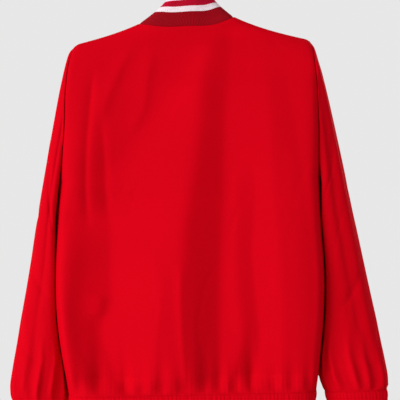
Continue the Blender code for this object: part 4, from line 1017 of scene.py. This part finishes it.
def zip_teeth():
    """Teeth set in turn from the left and the right along the middle of the built chain."""
    points = np.array([tuple(v.co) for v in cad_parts["zip_chain"].data.vertices])
    points = np.unique(np.round(points[points[:, 0] > 0] * (0, 1, 1), 6), axis=0)
    apart = np.linalg.norm(points[:, None] - points[None], axis=-1) + np.eye(len(points))
    middle = (points + points[apart.argmin(axis=1)]) / 2
    middle = middle[np.argsort(middle[:, 2])][::2]
    line = along_line(middle, 2 * int(lengths_along(middle)[-1] / TOOTH_PITCH))[1:-1]
    up = np.gradient(line, axis=0)
    up /= np.linalg.norm(up, axis=1, keepdims=True)
    front = np.stack([up[:, 0], -up[:, 2], up[:, 1]], axis=-1)
    edge = np.array(TOOTH + tuple((across, -high) for across, high in TOOTH[::-1]))
    layers = ((-0.5, 0.82), (-0.34, 1.0), (0.34, 1.0), (0.5, 0.82))
    side = np.where(np.arange(len(line)) % 2, 1, -1)[:, None, None, None]
    size = np.array([share for _, share in layers])[None, :, None, None]
    deep = np.array([depth for depth, _ in layers])[None, :, None, None] * TOOTH_THICK
    shape = edge.mean(axis=0) + (edge - edge.mean(axis=0))[None, None] * size
    corners = (
        line[:, None, None]
        + side * shape[..., :1] * np.array([1.0, 0, 0])
        + up[:, None, None] * shape[..., 1:]
        + front[:, None, None] * deep
    )
    count, sides = len(edge), []
    for layer in range(len(layers) - 1):
        for k in range(count):
            a, b = layer * count + k, layer * count + (k + 1) % count
            sides.append((a, b, b + count, a + count))
    caps = [tuple(range(count))[::-1], tuple(range(3 * count, 4 * count))]
    faces = []
    for index in range(len(line)):
        start = index * len(layers) * count
        turned_over = index % 2 == 0
        for face in sides + caps:
            shifted = tuple(start + k for k in face)
            faces.append(shifted[::-1] if turned_over else shifted)
    mesh = bpy.data.meshes.new("zip_teeth")
    mesh.from_pydata(corners.reshape(-1, 3).tolist(), [], faces)
    teeth = bpy.data.objects.new("zip_teeth", mesh)
    scene.collection.objects.link(teeth)
    return teeth


tape_cloth = cloth_material("zip tape", TAPE_RED, 0.0006, 0.06, 0.75, 0.15, 0.4)
teeth_plastic = plain_material("zip teeth", (0.40, 0.0018, 0.0080), 0.38)
painted = plain_material("painted zip metal", (0.46, 0.0030, 0.0100), 0.32)
for name in ("left", "right"):
    dressed(f"zip_tape_{name}", tape_cloth)
teeth = zip_teeth()
teeth.data.materials.append(teeth_plastic)
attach(teeth, "garment")
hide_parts("zip_chain")
for node in ("zip_box", "zip_slider", "zip_pull"):
    dressed(node, painted)

# ------------------------------------------------------------------ the stitches
# Lockstitch in thread of the cloth's colour: one row down each front beside the zip, and
# the rows that close and divide the elastic casings. Each stitch is raised, its ends sunk.
STITCH_PITCH, STITCH_LENGTH, STITCH_RADIUS = 0.0032, 0.0025, 0.00026
STITCH_AHEAD = 0.0008  # how far along its row a stitch looks for its direction
STITCH_SIDES = 6
STITCH_SHAPE = (
    # share along the stitch, share of its radius, height above the cloth in radii
    (-0.50, 0.35, -0.6), (-0.34, 0.90, 0.4), (0.00, 1.00, 0.7), (0.34, 0.90, 0.4),
     (0.50, 0.35, -0.6),
)
TOPSTITCH_X = 0.0150
CASING_ROWS = (1, 9, 17, 25)
THREAD_RED = (0.58, 0.0010, 0.0080)
sewing_thread = cloth_material("sewing thread", THREAD_RED, 0.0004, 0.02, 0.55, 0.10, 0.3)


def stitched(name, runs):
    """One piece of stitches along runs, each a line of points on the cloth and its normals."""
    places, alongs, outs = [], [], []
    for line, normals in runs:
        lengths = lengths_along(line)
        count = int(lengths[-1] / STITCH_PITCH)
        at = (np.arange(count) + 0.5) / count * lengths[-1]
        places.append(between(at, lengths, line))
        alongs.append(between(at + STITCH_AHEAD, lengths, line) - places[-1])
        outs.append(between(at, lengths, normals))
    place, along, out = (np.concatenate(part) for part in (places, alongs, outs))
    along /= np.maximum(np.linalg.norm(along, axis=1, keepdims=True), 1e-9)
    aside = np.cross(along, out)
    aside /= np.linalg.norm(aside, axis=1, keepdims=True)
    out = np.cross(aside, along)
    share, girth, lift = np.array(STITCH_SHAPE).T
    turn = np.arange(STITCH_SIDES) / STITCH_SIDES * 2 * math.pi
    reach = (lift[:, None] + girth[:, None] * np.cos(turn)) * STITCH_RADIUS
    across = girth[:, None] * np.sin(turn) * STITCH_RADIUS
    points = (
        place[:, None, None]
        + along[:, None, None] * (share * STITCH_LENGTH)[None, :, None, None]
        + out[:, None, None] * reach[None, ..., None]
        + aside[:, None, None] * across[None, ..., None]
    )
    one = []
    for ring in range(len(share) - 1):
        for k in range(STITCH_SIDES):
            a, b = ring * STITCH_SIDES + k, ring * STITCH_SIDES + (k + 1) % STITCH_SIDES
            one.append((a, a + STITCH_SIDES, b + STITCH_SIDES, b))
    starts = np.arange(len(place)) * len(share) * STITCH_SIDES
    faces = (np.array(one)[None] + starts[:, None, None]).reshape(-1, 4)
    mesh = bpy.data.meshes.new(name)
    mesh.from_pydata(points.reshape(-1, 3).tolist(), [], faces.tolist())
    corner_ring = (np.array(one) // STITCH_SIDES).ravel()
    corner_turn = (np.array(one) % STITCH_SIDES).ravel()
    uv = np.stack([share[corner_ring] * STITCH_LENGTH, turn[corner_turn] * STITCH_RADIUS], axis=-1)
    laid = np.tile(uv, (len(place), 1)).astype(np.float32)
    mesh.uv_layers.new(name="UVMap").data.foreach_set("uv", laid.ravel())
    mesh.shade_smooth()
    mesh.materials.append(sewing_thread)
    piece = bpy.data.objects.new(name, mesh)
    scene.collection.objects.link(piece)
    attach(piece, "garment")


topstitch = []
for side in (1, -1):
    normals = outward(front_grids[side], -side)
    line, out = [], []
    for row, normal in zip(front_grids[side][2:-1], normals[2:-1]):
        across = side * row[:, 0]
        y, z = (np.interp(TOPSTITCH_X, across, row[:, k]) for k in (1, 2))
        line.append([side * TOPSTITCH_X, y, z])
        out.append([np.interp(TOPSTITCH_X, across, normal[:, k]) for k in range(3)])
    topstitch.append((np.array(line), np.array(out)))
stitched("zip_topstitch", topstitch)
band_normals = outward(band_grid, -1)
stitched("waistband_stitches", [(band_outer[row], band_normals[row]) for row in CASING_ROWS])
for side, name in ((1, "left"), (-1, "right")):
    grid, outer = cuff_grids[side]
    normals = outward(grid, -side, True)
    rows = [(outer[row], normals[row]) for row in CASING_ROWS]
    stitched(f"cuff_stitches_{name}", rows)

# ------------------------------------------------------------------ the hanger
# A plain moulded hanger of black plastic under the shoulders, with a bright steel hook
# bent from round wire. Both keep their built shapes.
BLACK, STEEL = (0.022, 0.022, 0.024), (0.66, 0.66, 0.68)
dressed("hanger_body", plain_material("black moulded plastic", BLACK, 0.42, grain=0.25))
dressed("hanger_hook", plain_material("bright steel wire", STEEL, 0.22, 1.0))
